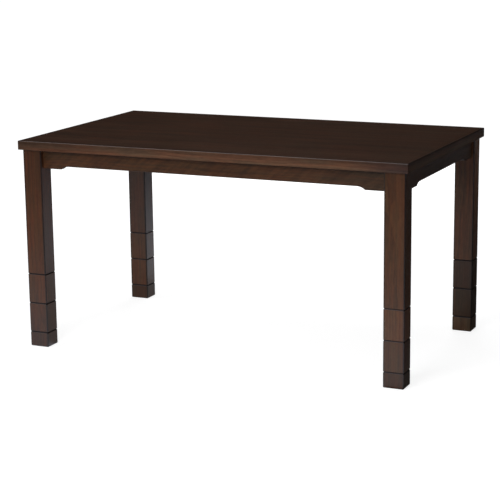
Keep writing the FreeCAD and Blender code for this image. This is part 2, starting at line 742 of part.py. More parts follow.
def frustum(low_size, high_size, z_low, z_high):
    """A four-sided solid that narrows upwards."""
    wires = []
    for size, level in ((low_size, z_low), (high_size, z_high)):
        half = size / 2
        points = square(half, level)
        wires.append(Part.makePolygon(points + points[:1]))
    return Part.makeLoft(wires, True, True)


def make_reflector():
    """A bright dish over the tubes, with a round hole under the fan."""
    rim_size = CASING_SIZE - 2 * (CASING_WALL + REFLECTOR_GAP)
    z_high = reflector_level()
    z_low = z_high - REFLECTOR_RISE
    outer = frustum(rim_size, REFLECTOR_FLAT, z_low + REFLECTOR_THICK, z_high + REFLECTOR_THICK)
    inner = frustum(rim_size, REFLECTOR_FLAT, z_low, z_high)
    rim = slab(rim_size, rim_size, z_low, z_low + REFLECTOR_THICK)
    dish = outer.fuse(rim).cut(inner)
    outline = slab(rim_size, rim_size, z_low - OVERRUN, z_high + REFLECTOR_THICK + OVERRUN)
    dish = dish.common(rounded(outline, CASING_CORNER_RADIUS - CASING_WALL - REFLECTOR_GAP, Z_AXIS))
    hole = rod(FAN_HOLE_RADIUS, vec(0, 0, z_low), Z_AXIS, REFLECTOR_RISE + 2 * REFLECTOR_THICK)
    save("heater_reflector", dish.cut(hole).removeSplitter())


def make_tubes():
    """Two quartz tubes with a heating element in each, held by a ceramic holder at each end."""
    level = reflector_level() - TUBE_DROP
    tubes = []
    elements = []
    holders = []
    for y in (-TUBE_Y, TUBE_Y):
        tube_start = vec(-TUBE_LENGTH / 2, y, level)
        bore_start = vec(-TUBE_LENGTH / 2 - OVERRUN, y, level)
        bore = rod(TUBE_RADIUS - TUBE_WALL, bore_start, X_AXIS, TUBE_LENGTH + 2 * OVERRUN)
        tubes.append(rod(TUBE_RADIUS, tube_start, X_AXIS, TUBE_LENGTH).cut(bore))
        elements.append(rod(ELEMENT_RADIUS, tube_start, X_AXIS, TUBE_LENGTH))
        inner_face = TUBE_LENGTH / 2 - HOLDER_OVERLAP
        z_high = reflector_level()
        holder = box(
            inner_face,
            inner_face + HOLDER_LENGTH,
            y - HOLDER_WIDTH / 2,
            y + HOLDER_WIDTH / 2,
            z_high - HOLDER_HEIGHT,
            z_high,
        )
        holder = holder.makeChamfer(HOLDER_BEVEL, edges_along(holder, Z_AXIS))
        seat = rod(
            TUBE_RADIUS + HOLDER_CLEARANCE,
            vec(inner_face - OVERRUN, y, level),
            X_AXIS,
            HOLDER_OVERLAP + OVERRUN,
        )
        holder = holder.cut(seat)
        holders += [holder, holder.mirror(ORIGIN, X_AXIS)]
    save("quartz_tubes", *tubes)
    save("heating_elements", *elements)
    save("tube_holders", *holders)


def make_cutout():
    """The thermal cut-out: a round case on a flange, with a blade terminal at each side."""
    base = reflector_level() + REFLECTOR_THICK
    flange_top = base + CUTOUT_FLANGE_THICK
    flange = slab(CUTOUT_FLANGE_WIDTH, CUTOUT_FLANGE_LENGTH, base, flange_top)
    flange = rounded(flange, CUTOUT_FLANGE_ROUND, Z_AXIS)
    case = rod(CUTOUT_RADIUS, vec(0, 0, base), Z_AXIS, CUTOUT_HEIGHT)
    blade_top = base + CUTOUT_HEIGHT - CUTOUT_BLADE_DROP
    blades = box(
        -CUTOUT_RADIUS - CUTOUT_BLADE_LENGTH,
        CUTOUT_RADIUS + CUTOUT_BLADE_LENGTH,
        -CUTOUT_BLADE_WIDTH / 2,
        CUTOUT_BLADE_WIDTH / 2,
        blade_top - CUTOUT_BLADE_THICK,
        blade_top,
    )
    cutout = flange.fuse([case, blades])
    cutout.translate(vec(CUTOUT_X, 0, 0))
    save("thermal_cutout", cutout)


def motor_bottom():
    """Height of the motor's lower face, where its bearing begins."""
    return CASING_TOP - CASING_WALL - MOTOR_HEIGHT


def make_motor():
    """The fan motor: an iron stack with a coil at one end and a bearing below."""
    z_high = CASING_TOP - CASING_WALL
    stack = rounded(slab(MOTOR_LENGTH, MOTOR_WIDTH, motor_bottom(), z_high), STACK_ROUND, Z_AXIS)
    coil_low = z_high - MOTOR_HEIGHT / 2 - COIL_HEIGHT / 2
    coil = box(
        MOTOR_LENGTH / 2 - OVERRUN,
        MOTOR_LENGTH / 2 + COIL_WIDTH,
        -COIL_LENGTH / 2,
        COIL_LENGTH / 2,
        coil_low,
        coil_low + COIL_HEIGHT,
    )
    coil = rounded(coil, COIL_ROUND, X_AXIS)
    bearing_low = motor_bottom() - BEARING_HEIGHT
    bearing = rod(BEARING_RADIUS, vec(0, 0, bearing_low), Z_AXIS, BEARING_HEIGHT + OVERRUN)
    bore_start = vec(0, 0, bearing_low - OVERRUN)
    bore_length = SHAFT_DEPTH + OVERRUN
    bore = rod(SHAFT_RADIUS + SHAFT_CLEARANCE, bore_start, Z_AXIS, bore_length)
    save("fan_motor", stack.fuse([coil, bearing]).cut(bore))


def make_impeller():
    """Six pitched blades on a hub, on the shaft that turns in the motor."""
    hub_top = motor_bottom() - BEARING_HEIGHT - FAN_GAP
    hub_bottom = hub_top - HUB_HEIGHT
    hub = rod(HUB_RADIUS, vec(0, 0, hub_bottom), Z_AXIS, HUB_HEIGHT)
    hub = hub.makeFillet(BLADE_ROOT, edges_at_level(hub, hub_bottom))
    shaft = rod(SHAFT_RADIUS, vec(0, 0, hub_top - OVERRUN), Z_AXIS, SHAFT_DEPTH + OVERRUN)
    sweep = rod(BLADE_TIP_RADIUS, vec(0, 0, hub_bottom - HUB_HEIGHT), Z_AXIS, 3 * HUB_HEIGHT)
    middle = hub_bottom + HUB_HEIGHT / 2
    blades = []
    for k in range(BLADE_COUNT):
        blade = box(
            HUB_RADIUS - BLADE_ROOT,
            BLADE_TIP_RADIUS + OVERRUN,
            -BLADE_CHORD / 2,
            BLADE_CHORD / 2,
            middle - BLADE_THICK / 2,
            middle + BLADE_THICK / 2,
        )
        blade.rotate(vec(0, 0, middle), X_AXIS, BLADE_PITCH)
        blade.rotate(ORIGIN, Z_AXIS, 360 / BLADE_COUNT * k)
        blades.append(blade.common(sweep))
    save("fan_impeller", hub.fuse([shaft] + blades))


def hat_wire(offset, z_foot, span):
    """A guard wire along Y: out to the rim, down, across below the heater and up again."""
    rim_y = rim_half()
    rim_z = rim_level()
    side_y = span / 2
    points = [
        vec(offset, -rim_y, rim_z),
        vec(offset, -side_y, rim_z),
        vec(offset, -side_y, z_foot),
        vec(offset, side_y, z_foot),
        vec(offset, side_y, rim_z),
        vec(offset, rim_y, rim_z),
    ]
    return bent_wire(points, GUARD_BEND, False)


def bent_wire(points, bend, closed):
    """A round wire through points at right angles, with a bend of one radius at each."""
    count = len(points)
    arcs = []
    for k in range(count) if closed else range(1, count - 1):
        here = points[k]
        before = (points[k - 1] - here).normalize()
        after = (points[(k + 1) % count] - here).normalize()
        middle = here + (before + after) * bend * (1 - math.sqrt(0.5))
        arcs.append((here + before * bend, middle, here + after * bend))
    last = arcs[-1][2] if closed else points[0]
    edges = []
    for first, middle, after in arcs:
        if not first.isEqual(last, TOLERANCE):
            edges.append(Part.makeLine(last, first))
        edges.append(Part.Arc(first, middle, after).toShape())
        last = after
    if not closed:
        edges.append(Part.makeLine(last, points[-1]))
    path = Part.Wire(edges)
    start = path.OrderedVertexes[0].Point
    first_edge = path.OrderedEdges[0]
    tangent = first_edge.tangentAt(first_edge.FirstParameter)
    ring = Part.Wire(Part.makeCircle(GUARD_WIRE_RADIUS, start, tangent))
    return path.makePipeShell([ring], True, False)


def rim_half():
    """Half the width of the guard's rim, which sits on the casing's lip."""
    return CASING_SIZE / 2 - CASING_WALL - CASING_LIP / 2


def rim_level():
    return CASING_BOTTOM + CASING_WALL + GUARD_WIRE_RADIUS


def spread(count, reach):
    """Places at even steps from -reach to reach."""
    return [reach * (2 * k / (count - 1) - 1) for k in range(count)]


def make_guard():
    """The welded wire guard: hat-shaped wires both ways on a square rim."""
    z_foot = CASING_BOTTOM - GUARD_DEPTH
    rim = bent_wire(square(rim_half(), rim_level()), GUARD_RIM_BEND, True)
    wires = []
    for offset in spread(GUARD_LONG_COUNT, GUARD_SIZE / 2 - GUARD_LONG_INSET):
        wires.append(hat_wire(offset, z_foot, GUARD_SIZE))
    for offset in spread(GUARD_CROSS_COUNT, GUARD_SIZE / 2 - GUARD_CROSS_INSET):
        wire = hat_wire(offset, z_foot + 2 * GUARD_WIRE_RADIUS - GUARD_WELD, GUARD_SIZE)
        wire.rotate(ORIGIN, Z_AXIS, 90)
        wires.append(wire)
    save("wire_guard", rim.fuse(wires))


def make_inlet():
    """A plastic socket on the casing's right wall with two pins, for the cord that plugs in."""
    x_low = CASING_SIZE / 2
    x_high = x_low + INLET_LENGTH
    z_high = RAIL_UNDERSIDE - INLET_DROP
    z_low = z_high - INLET_HEIGHT
    middle = (z_low + z_high) / 2
    body = box(x_low, x_high, -INLET_WIDTH / 2, INLET_WIDTH / 2, z_low, z_high)
    body = rounded(body, INLET_ROUND, X_AXIS)
    cavity = box(
        x_high - INLET_CAVITY_DEPTH,
        x_high + OVERRUN,
        -INLET_WIDTH / 2 + INLET_WALL,
        INLET_WIDTH / 2 - INLET_WALL,
        z_low + INLET_WALL,
        z_high - INLET_WALL,
    )
    body = body.cut(rounded(cavity, INLET_ROUND, X_AXIS))
    for sign in (-1, 1):
        start = vec(x_high - INLET_CAVITY_DEPTH - OVERRUN, sign * PIN_SPACING / 2, middle)
        body = body.fuse(rod(PIN_RADIUS, start, X_AXIS, PIN_LENGTH + OVERRUN))
    save("cord_inlet", body)


def main():
    os.makedirs("parts", exist_ok=True)
    make_top()
    make_leg_blocks()
    make_legs()
    make_dowels()
    make_aprons()
    make_rails()
    make_corner_blocks()
    make_pads()
    make_casing()
    make_casing_screws()
    make_reflector()
    make_tubes()
    make_cutout()
    make_motor()
    make_impeller()
    make_guard()
    make_inlet()


main()
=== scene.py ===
import math
import random

import bmesh
import bpy
from mathutils import Matrix, Vector


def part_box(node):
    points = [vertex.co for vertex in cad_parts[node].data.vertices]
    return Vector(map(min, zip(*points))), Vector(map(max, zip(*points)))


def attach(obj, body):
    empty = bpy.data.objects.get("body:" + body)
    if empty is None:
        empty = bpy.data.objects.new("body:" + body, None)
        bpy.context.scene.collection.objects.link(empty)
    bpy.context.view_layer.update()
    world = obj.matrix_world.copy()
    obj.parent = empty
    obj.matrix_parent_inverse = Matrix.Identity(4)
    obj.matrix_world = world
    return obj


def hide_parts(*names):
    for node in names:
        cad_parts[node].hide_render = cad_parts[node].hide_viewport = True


# A dining-height kotatsu table, in metres, dressed around the frame.
# +X runs along the length, and -Y is the front.

MM = 0.001
UP = Vector((0, 0, 1))
CORNERS = ("front_left", "front_right", "back_left", "back_right")
SECTIONS = ("extension_upper", "extension_lower", "foot")

# The photograph's camera: its place, its turn about the upright, its tilt down, its roll and its lens
CAMERA_PLACE = (2.1571, -4.8006, 1.475)
CAMERA_YAW = math.radians(24.412)
CAMERA_TILT = math.radians(12.548)
CAMERA_ROLL = math.radians(-0.692)
CAMERA_FOCUS_PIXELS = 1589.8
PHOTO_PIXELS = 500
SENSOR_WIDTH = 36.0

# Lightest and darkest tone of each kind of board, and the tone of the highlight painted on crests, as they
# show on a screen
TOP_TONES = ((64, 45, 36), (44, 31, 25))
EDGE_TONES = ((94, 69, 55), (63, 46, 38))
APRON_TONES = ((79, 51, 33), (53, 34, 22))
LEG_TONES = ((85, 54, 35), (54, 34, 23))
RAIL_TONES = ((206, 172, 130), (170, 132, 92))
PAINTED_HIGHLIGHT_TONE = (150, 145, 148)

# Noise in the wood, as turns per metre along and across the grain, detail and roughness
WANDER = ((1.8, 9, 9), 3.0, 0.5)
STREAKS = ((2.6, 150, 150), 3.0, 0.6)
FIBRES = ((9, 480, 480), 4.0, 0.6)
FLECKS = ((34, 170, 170), 2.0, 0.6)
CLOUDS = ((3, 16, 16), 2.0, 0.5)
SLANTS = ((12, 30, 110), 2.0, 0.5)
PORES = ((60, 1700, 1700), 2.0, 0.5)
HUES = ((4.5, 95, 95), 2.0, 0.5)
BLUSHES = ((8, 30, 30), 2.0, 0.5)
RUBS = ((30, 30, 30), 3.0, 0.5)
TOP_STREAKS = ((2.4, 75, 75), 3.0, 0.55)

# The turn that lays the grain along each axis, the tilt of slanting flecks, and how far seeds move a board
GRAIN_TURNS = {
    "x": (0, 0, 0),
    "y": (0, 0, math.radians(-90)),
    "z": (0, math.radians(90), 0),
}
SLANT_TURN = (0, math.radians(38), 0)
SEED_REACH = 3

# Seeds of the boards. Aprons and the lengths of a leg count on from theirs.
TOP_SEED = 11
EDGE_SEED = 12
APRON_SEED = 20
LEG_SEED = 40
LEG_SEED_STEP = 10
RAIL_SEED = 90

# How far the grain wanders in height, as a share of how far it wanders sideways
WANDER_RISE_SHARE = 0.7

# Growth rings: turns per metre at least and most, how they waver, their stretch, and the heart's place
RING_TURNS = (26, 36)
RING_WAVES = {"Distortion": 2.4, "Detail": 3.0, "Detail_Scale": 1.4}
RING_STRETCH = (0.05, 1, 1)
RING_HEART = (0, 0.11, 0.06)

# How strongly the fibres and the rings weigh in the figure, next to its streaks
FIBRE_WEIGHT = 0.9
RING_WEIGHT = 0.45

# What fibres and pores add to the roughness, and the relief as the fibres' height, its strength and depth
FIBRE_ROUGHNESS = 0.10
PORE_ROUGHNESS = 0.2
FIBRE_HEIGHT = 0.35
WOOD_RELIEF = (0.25, 0.25 * MM)

# What the stain does: shares added where it takes redder and greener, and the mix of the two hue fields
RED_TAKE = (0.26, -0.03, -0.22)
GREEN_TAKE = (-0.16, 0.03, -0.04)
HUE_SHARE = 0.55
HUE_SPAN = (0.38, 0.62)
PORE_SPAN = (0.60, 0.72)
PORE_SHADE = (0.45, 0.42, 0.40)
LINE_SHADE = (0.22, 0.22, 0.23)
# The joints' dark lines, partly painted shade, are a little bluer
SEAM_BLUE = 1.08

# Where arrises are rubbed thin, and by how much
RUB_SPAN = (0.55, 0.8)
RUB_GAIN = (2.0, 1.8, 1.6)
RUB_STRENGTH = 0.4

# Directions of a face, as cosines: square to an axis or round, an upper face, and a crest that looks up,
# where a highlight is painted
FLAT_COSINE = 0.995
ROUND_COSINE = 0.93
EDGE_COSINE = 0.9
UPPER_COSINES = (0.8, 0.97)
HIGHLIGHT_RISING = (0.25, 0.5)
HIGHLIGHT_LEVEL = (0.93, 0.75)
HIGHLIGHT_FRONTAL = (0.1, 0.3)

# Dark lines at joints, partly stain and partly painted shade in the gaps, and at arrises. A pair says at
# which distance a line has faded out, and where it is full.
JOINT_OFFSET = 0.8 * MM
JOINT_REACH = (2.8 * MM, 1.8 * MM)
POST_REACH = (6.0 * MM, 2.5 * MM)
POST_STRENGTH = 0.8
RIM_REACH = (7 * MM, 3 * MM)
RIM_FRONT = (2 * MM, 5 * MM)
RIM_DEPTHS = (6 * MM, 3 * MM)
RIM_STRENGTH = 0.7

# Painted light and shade as slow changes of tone: stops of (from, to, tone) along X, and tones at two depths
# under the table's top
EDGE_STOPS = ((-0.05, -0.62, (0.80, 0.75, 0.75)), (0.46, 0.66, (0.58, 0.68, 0.92)))
EDGE_DEPTHS = (3 * MM, 23 * MM)
EDGE_DEPTH_TONES = (0.84, 1.16)
FRONT_APRON_STOPS = ((0.15, 0.55, (0.80, 0.98, 1.22)),)
APRON_DEPTHS = (40 * MM, 90 * MM)
APRON_DEPTH_TONES = (0.94, 1.03)

# Each leg: the shade of its joints, its painted light and shade at two depths under the top, and the tone
# and warmth of each of its lengths
# The tones of the lengths are partly the wood's own and partly painted light and shade
LEG_LOOKS = {
    "front_left": {
        "seam": 0.24,
        "depths": (40 * MM, 280 * MM),
        "depth_tones": (0.80, 1.0),
        "lengths": ((0.86, 0.22), (0.92, 0.13), (0.83, 0.13), (0.62, 0.13)),
    },
    "front_right": {
        "seam": 0.62,
        "depths": (40 * MM, 280 * MM),
        "depth_tones": (0.70, 1.0),
        "lengths": ((1.32, -0.02), (1.66, -0.07), (1.12, -0.05), (0.73, -0.03)),
    },
    "back_left": {
        "seam": 0.34,
        "depths": (40 * MM, 280 * MM),
        "depth_tones": (0.82, 1.0),
        "lengths": ((0.95, 0.06), (1.20, 0.04), (1.27, 0.05), (0.72, 0.04)),
    },
    "back_right": {
        "seam": 0.32,
        "depths": (140 * MM, 430 * MM),
        "depth_tones": (1.46, 0.82),
        "lengths": ((1.73, 0.0), (1.00, -0.13), (0.98, -0.19), (2.26, -0.30)),
    },
}

# Half the length of the bars between the heater's rails
CROSSBAR_HALF = 0.15

# What a board looks like unless it says otherwise
WOOD_LOOK = {
    # strength of streaks, fibres and rings together, of the streaks alone, of flecks and of clouds
    "figure": 0.8, "streak": 1.4, "fleck": 0.9, "cloud": 0.9,
    # strength of flecks that slant across the grain, of redder and greener patches, and of the pores
    "slant": 0.0, "patches": 0.8, "pores": 0.5,
    # how far the grain wanders, its roughness and its gloss
    "bend": 0.05, "satin": 0.42, "shine": 0.5,
    # the board's own tone, and how warm it is
    "tone": 1.0, "warmth": 0.0,
    # shade of the arrises, a painted highlight on crests that look up, and heights and shade of the joints,
    # partly painted shade
    "rim": 0.4, "crest": 0.0, "joints": (), "seam": 0.24,
    # functions that turn the grain, paint light and shade as slow changes of tone, draw dark lines and
    # colour the upper face
    "across": None, "drift": None, "lines": None, "upper": None,
}

# Metal and paint: the grain as turns per metre, its detail and roughness, and the larger clouds
METAL_GRAIN = (400, 400, 400)
METAL_FINE = (3.0, 0.6)
METAL_CLOUDS = ((22, 22, 22), 4.0, 0.6)

# Where metal is dull and where its edges are worn, and how its shade changes there
METAL_DULL_SPAN = (0.3, 0.7)
METAL_DULL_SHADE = 0.86
METAL_WEAR_SPAN = (0.35, 0.7)
METAL_WORN_GAIN = 1.7
METAL_WORN_LIFT = 0.05
METAL_EDGE_RADIUS = 0.4 * MM
BEVEL_SAMPLES = 4

# What a metal's grain and clouds do to its roughness, and its relief as strength and depth
METAL_ROUGHNESSES = (0.10, 0.06)
METAL_RELIEF = (0.15, 0.1 * MM)

# Plastic, ceramic and felt: the grain's detail and roughness, the clouds and their shade, and what the grain
# does to the surface's roughness and relief
MATTER_FINE = (2.0, 0.6)
MATTER_CLOUDS = ((35, 35, 35), 4.0, 0.6)
MATTER_SHADE = 0.8
MATTER_ROUGHNESS = 0.1
MATTER_DEPTH = 0.2 * MM

# The glass of the heater's tubes
QUARTZ_CLOUDS = ((30, 90, 90), 3.0, 0.5)
QUARTZ_TONES = ((255, 252, 248), (244, 238, 232))
QUARTZ_ROUGHNESS = 0.12
QUARTZ_IOR = 1.46

# Screw threads as (pitch, depth), where they lie on their rods, and the fineness of their mesh
WOOD_THREAD = (3.0 * MM, 0.8 * MM)
MACHINE_THREAD = (1.25 * MM, 0.65 * MM)
STUD_WOOD_ENDS = (1 * MM, 27 * MM)
STUD_MACHINE_START = 31 * MM
HANGER_WOOD_ENDS = (1 * MM, 28 * MM)
HANGER_MACHINE_LENGTH = 26 * MM
THREAD_STEPS = 6
THREAD_SIDES = 16
SHARP_ANGLE = math.radians(40)
WELD = 1e-6

# The wound wires of the heater, with a lead at each end that is straight for most of its length
COIL_WIRE = 0.45 * MM
COIL_WIRE_SIDES = 6
COIL_PITCH = 2.2 * MM
COIL_LEAD = 12 * MM
COIL_LEAD_STRAIGHT = 0.8
COIL_STEPS = 12

# The fan's hub, as heights above its foot with radii in millimetres
HUB_HEIGHT = 14 * MM
HUB_SIDES = 40
HUB_PROFILE = (
    (0.0, 8.6), (0.4, 10.4), (1.2, 11.5), (2.4, 12.0), (12.8, 12.0),
    (13.6, 11.6), (14.0, 10.6), (14.0, 4.6), (15.6, 4.2), (15.8, 2.0),
)

# The fan's blades. Shares are of the way from root to tip, but for the chord's share at the root.
BLADE_COUNT = 6
BLADE_ROOT = 11 * MM
BLADE_CHORD = 19 * MM
BLADE_ROOT_CHORD_SHARE = 0.68
BLADE_WIDEST_SHARE = 0.6
BLADE_TIP_SHARE = 0.8
BLADE_TIP_TAPER = 0.6
BLADE_THICKNESS = 1.0 * MM
BLADE_THINNEST = 0.05
BLADE_CAMBER = 1.0 * MM
BLADE_ROOT_PITCH = math.radians(36)
BLADE_TIP_PITCH = math.radians(26)
BLADE_STEPS = 8
BLADE_ROWS = 12

# The studio's fill light
WORLD_TINT = (0.93, 0.97, 1.0, 1)
WORLD_LIGHT = 0.12

# The floor: its glow near the table and far from it, the grey that takes its shadow, and what it looks like
# to gloss (a tint) and to the light that it throws back (a grey)
FLOOR_SIZE = 60.0
FLOOR_LEVEL = -0.3 * MM
FLOOR_GLOW = (0.80, 1.0)
FLOOR_GLOW_REACH = (1.2, 3.2)
FLOOR_SHADE = 0.42
FLOOR_MIRRORED = [0.86, 0.97, 1.12, 1]
FLOOR_BOUNCE = 0.18

# The unlit room round the table, which only reflections show
ROOM_HALF = 6.0
ROOM_FOOT = 0.1
ROOM_HEIGHT = 5.0
CARD_SHADE = 0.02

# Cards on the floor that only reflections show, which paint shade and light into them, as (name, height,
# shade, corners)
CARD_HEIGHT = 1 * MM
FLOOR_CARDS = (
    ("card_right", CARD_HEIGHT, CARD_SHADE,
     ((0.6, -0.36), (ROOM_HALF, -0.36), (ROOM_HALF, ROOM_HALF), (0.2, ROOM_HALF))),
    ("card_front", CARD_HEIGHT, CARD_SHADE,
     ((-ROOM_HALF, -ROOM_HALF), (ROOM_HALF, -ROOM_HALF), (ROOM_HALF, -1.35), (-ROOM_HALF, -1.35))),
    ("card_left", CARD_HEIGHT, CARD_SHADE,
     ((-ROOM_HALF, 0.42), (-0.72, 0.42), (-0.72, ROOM_HALF), (-ROOM_HALF, ROOM_HALF))),
    ("card_back", CARD_HEIGHT, CARD_SHADE,
     ((-0.72, 2.3), (0.6, 2.3), (0.6, ROOM_HALF), (-0.72, ROOM_HALF))),
    # The table's shadow on the floor, painted into reflections as a grey card
    ("card_painted_shadow", CARD_HEIGHT, 0.42,
     ((-1.4, -0.34), (0.59, -0.34), (0.59, 0.6), (-1.4, 0.6))),
    # A lighter strip that paints a grey reflection on the front right leg's right face
    ("card_painted_reflection", CARD_HEIGHT + 0.4 * MM, 0.065,
     ((0.60, -0.40), (0.78, -0.40), (1.12, 0.72), (0.94, 0.72))),
)

# Lamps as (name, place, target, width, height, watts, whether gloss shows them)
LAMPS = (
    ("key", (0.0, -2.4, 1.35), (0, 0, 0.5), 1.3, 1.2, 40.5, False),
    ("left_fill", (-3.4, -1.0, 1.6), (0, 0, 0.4), 1.6, 1.6, 30, True),
    ("right_fill", (3.4, 0.6, 1.6), (0, 0, 0.4), 1.6, 1.6, 5.5, False),
    ("back_fill", (-0.8, 3.6, 1.6), (0, 0, 0.4), 2.0, 1.4, 40, False),
    ("overhead", (0, 0.1, 2.9), (0, 0, 0.7), 2.4, 1.8, 28, True),
)


class Graph:
    """A short way to write a material's nodes."""

    def __init__(self, name):
        self.material = bpy.data.materials.new(name)
        self.material.use_nodes = True
        self.nodes = self.material.node_tree.nodes
        self.links = self.material.node_tree.links
        self.shader = self.nodes["Principled BSDF"]

    def put(self, socket, value):
        """Sets a socket to a number or colour, or links another node's output to it."""
        if isinstance(value, bpy.types.NodeSocket):
            self.links.new(value, socket)
        elif value is not None:
            socket.default_value = value

    def add(self, kind, settings=None, **inputs):
        """A new shader node, with its settings and inputs."""
        node = self.nodes.new("ShaderNode" + kind)
        for key, value in (settings or {}).items():
            setattr(node, key, value)
        for key, value in inputs.items():
            self.put(node.inputs[key.replace("_", " ")], value)
        return node

    def math(self, operation, first, second=None, clamp=False):
        """A calculation with one or two numbers."""
        node = self.add("Math", {"operation": operation, "use_clamp": clamp})
        self.put(node.inputs[0], first)
        self.put(node.inputs[1], second)
        return node.outputs[0]

    def mix(self, factor, first, second, blend="MIX"):
        """One colour mixed with another."""
        node = self.add("Mix", {"data_type": "RGBA", "blend_type": blend})
        self.put(node.inputs[0], factor)
        self.put(node.inputs[6], first)
        self.put(node.inputs[7], second)
        return node.outputs[2]

    def span(self, value, low, high, out_low=0.0, out_high=1.0):
        """Maps a range of one value to another, smoothly and clamped."""
        node = self.add("MapRange", {"interpolation_type": "SMOOTHSTEP"})
        for index, number in enumerate((value, low, high, out_low, out_high)):
            self.put(node.inputs[index], number)
        return node.outputs[0]

    def place(self, scale=(1, 1, 1), shift=(0, 0, 0), turn=(0, 0, 0), vector=None):
        """The object's own coordinates, or others, turned, shifted and stretched."""
        if vector is None:
            vector = self.add("TexCoord").outputs["Object"]
        node = self.add("Mapping", {"vector_type": "POINT"})
        self.put(node.inputs["Vector"], vector)
        node.inputs["Location"].default_value = shift
        node.inputs["Rotation"].default_value = turn
        node.inputs["Scale"].default_value = scale
        return node.outputs[0]

    def noise(self, field, vector=None):
        """Noise from a field of (turns per metre, detail, roughness), 0 to 1."""
        scale, detail, roughness = field
        node = self.add("TexNoise", Scale=1.0, Detail=detail, Roughness=roughness)
        self.put(node.inputs["Vector"], self.place(scale, vector=vector))
        return node.outputs[0]

    def relief(self, height, strength, depth):
        """Gives the surface a fine relief."""
        bump = self.add("Bump", Strength=strength, Distance=depth, Height=height)
        self.put(self.shader.inputs["Normal"], bump.outputs[0])

    def roughen(self, middle, layers, pits=0.0):
        """Gives the surface a roughness about a middle, from layers of (noise, reach) and what pits add."""
        total = middle - sum(reach for _, reach in layers) / 2
        for noise, reach in layers:
            total = self.math("ADD", total, self.math("MULTIPLY", noise, reach))
        self.put(self.shader.inputs["Roughness"], self.math("ADD", total, pits))

    def rounding(self):
        """1 on the rounded arrises of a piece that stands square to the axes, and 0 on its flat faces."""
        parts = self.add("SeparateXYZ", Vector=self.add("TexCoord").outputs["Normal"]).outputs
        sizes = [self.math("ABSOLUTE", part) for part in parts]
        largest = self.math("MAXIMUM", self.math("MAXIMUM", sizes[0], sizes[1]), sizes[2])
        return self.span(largest, FLAT_COSINE, ROUND_COSINE)

    def edge(self, radius):
        """Nearly 1 along a solid's edges, and 0 on its faces."""
        bevel = self.add("Bevel", {"samples": BEVEL_SAMPLES}, Radius=radius)
        face = self.add("NewGeometry")
        node = self.add("VectorMath", {"operation": "DOT_PRODUCT"})
        self.put(node.inputs[0], bevel.outputs[0])
        self.put(node.inputs[1], face.outputs["Normal"])
        return self.span(node.outputs["Value"], FLAT_COSINE, EDGE_COSINE)


def linear(red, green, blue):
    """A colour written as it shows on a screen, from 0 to 255, turned to linear light."""
    shares = [value / 255 for value in (red, green, blue)]
    return [((s + 0.055) / 1.055) ** 2.4 if s > 0.04045 else s / 12.92 for s in shares] + [1.0]


def scaled(colour, gain, lift=0.0):
    """A colour made lighter or darker as a whole."""
    return [min(1, share * gain + lift) for share in colour[:3]] + [1]


def multiplied(g, colour, shares, factor=1.0):
    """A colour scaled channel by channel, where the factor says so."""
    return g.mix(factor, colour, g.mix(1.0, colour, list(shares) + [1], "MULTIPLY"))


def wandering(g, base, bend):
    """The grain's own coordinates, bent slowly across the board."""
    slow = g.noise(WANDER, base)
    rise = g.math("MULTIPLY", slow, bend * WANDER_RISE_SHARE)
    lift = g.add("CombineXYZ", Y=g.math("MULTIPLY", slow, bend), Z=rise)
    slope = g.add("VectorMath", {"operation": "ADD"})
    g.put(slope.inputs[0], base)
    g.put(slope.inputs[1], lift.outputs[0])
    return slope.outputs[0]


def growth_rings(g, bent, turns):
    """The rings of a trunk cut lengthwise, seen as long flames."""
    settings = {"wave_type": "RINGS", "rings_direction": "X", "wave_profile": "SAW"}
    ring = g.add("TexWave", settings, Scale=turns, **RING_WAVES)
    g.put(ring.inputs["Vector"], g.place(RING_STRETCH, RING_HEART, vector=bent))
    return ring.outputs["Fac"]


def wood_figure(g, look, base, bent, fibre, rings):
    """The figure of a board, 0 where it is darkest and 1 where it is lightest."""
    layers = [
        (g.noise(STREAKS, bent), look["streak"] * look["figure"]),
        (fibre, FIBRE_WEIGHT * look["figure"]),
        (g.noise(CLOUDS, base), look["cloud"]),
        (g.noise(FLECKS, bent), look["fleck"]),
        (rings, RING_WEIGHT * look["figure"]),
    ]
    if look["slant"]:
        tilted = g.place(turn=SLANT_TURN, vector=base)
        layers.append((g.noise(SLANTS, tilted), look["slant"]))
    total = 0.5
    for field, weight in layers:
        total = g.math("ADD", total, g.math("MULTIPLY", g.math("SUBTRACT", field, 0.5), weight))
    return g.math("ADD", total, 0.0, clamp=True)


def stain_and_painted_shading(g, look, own, base, bent, colour):
    """The stain over the figure: redder in some streaks and greener in others, with the board's tone, and
    painted light and shade.
    """
    hue = g.math("MULTIPLY", g.noise(HUES, bent), HUE_SHARE)
    blush = g.math("MULTIPLY", g.noise(BLUSHES, base), 1 - HUE_SHARE)
    red = [1 + take * look["patches"] for take in RED_TAKE] + [1]
    green = [1 + take * look["patches"] for take in GREEN_TAKE] + [1]
    takes = g.mix(g.span(g.math("ADD", hue, blush), *HUE_SPAN), green, red)
    colour = g.mix(1.0, colour, takes, "MULTIPLY")
    tone, warmth = look["tone"], look["warmth"]
    colour = multiplied(g, colour, (tone * (1 + warmth), tone, tone * (1 - warmth)))
    if look["drift"]:
        colour = g.mix(1.0, colour, look["drift"](g, own), "MULTIPLY")
    return colour


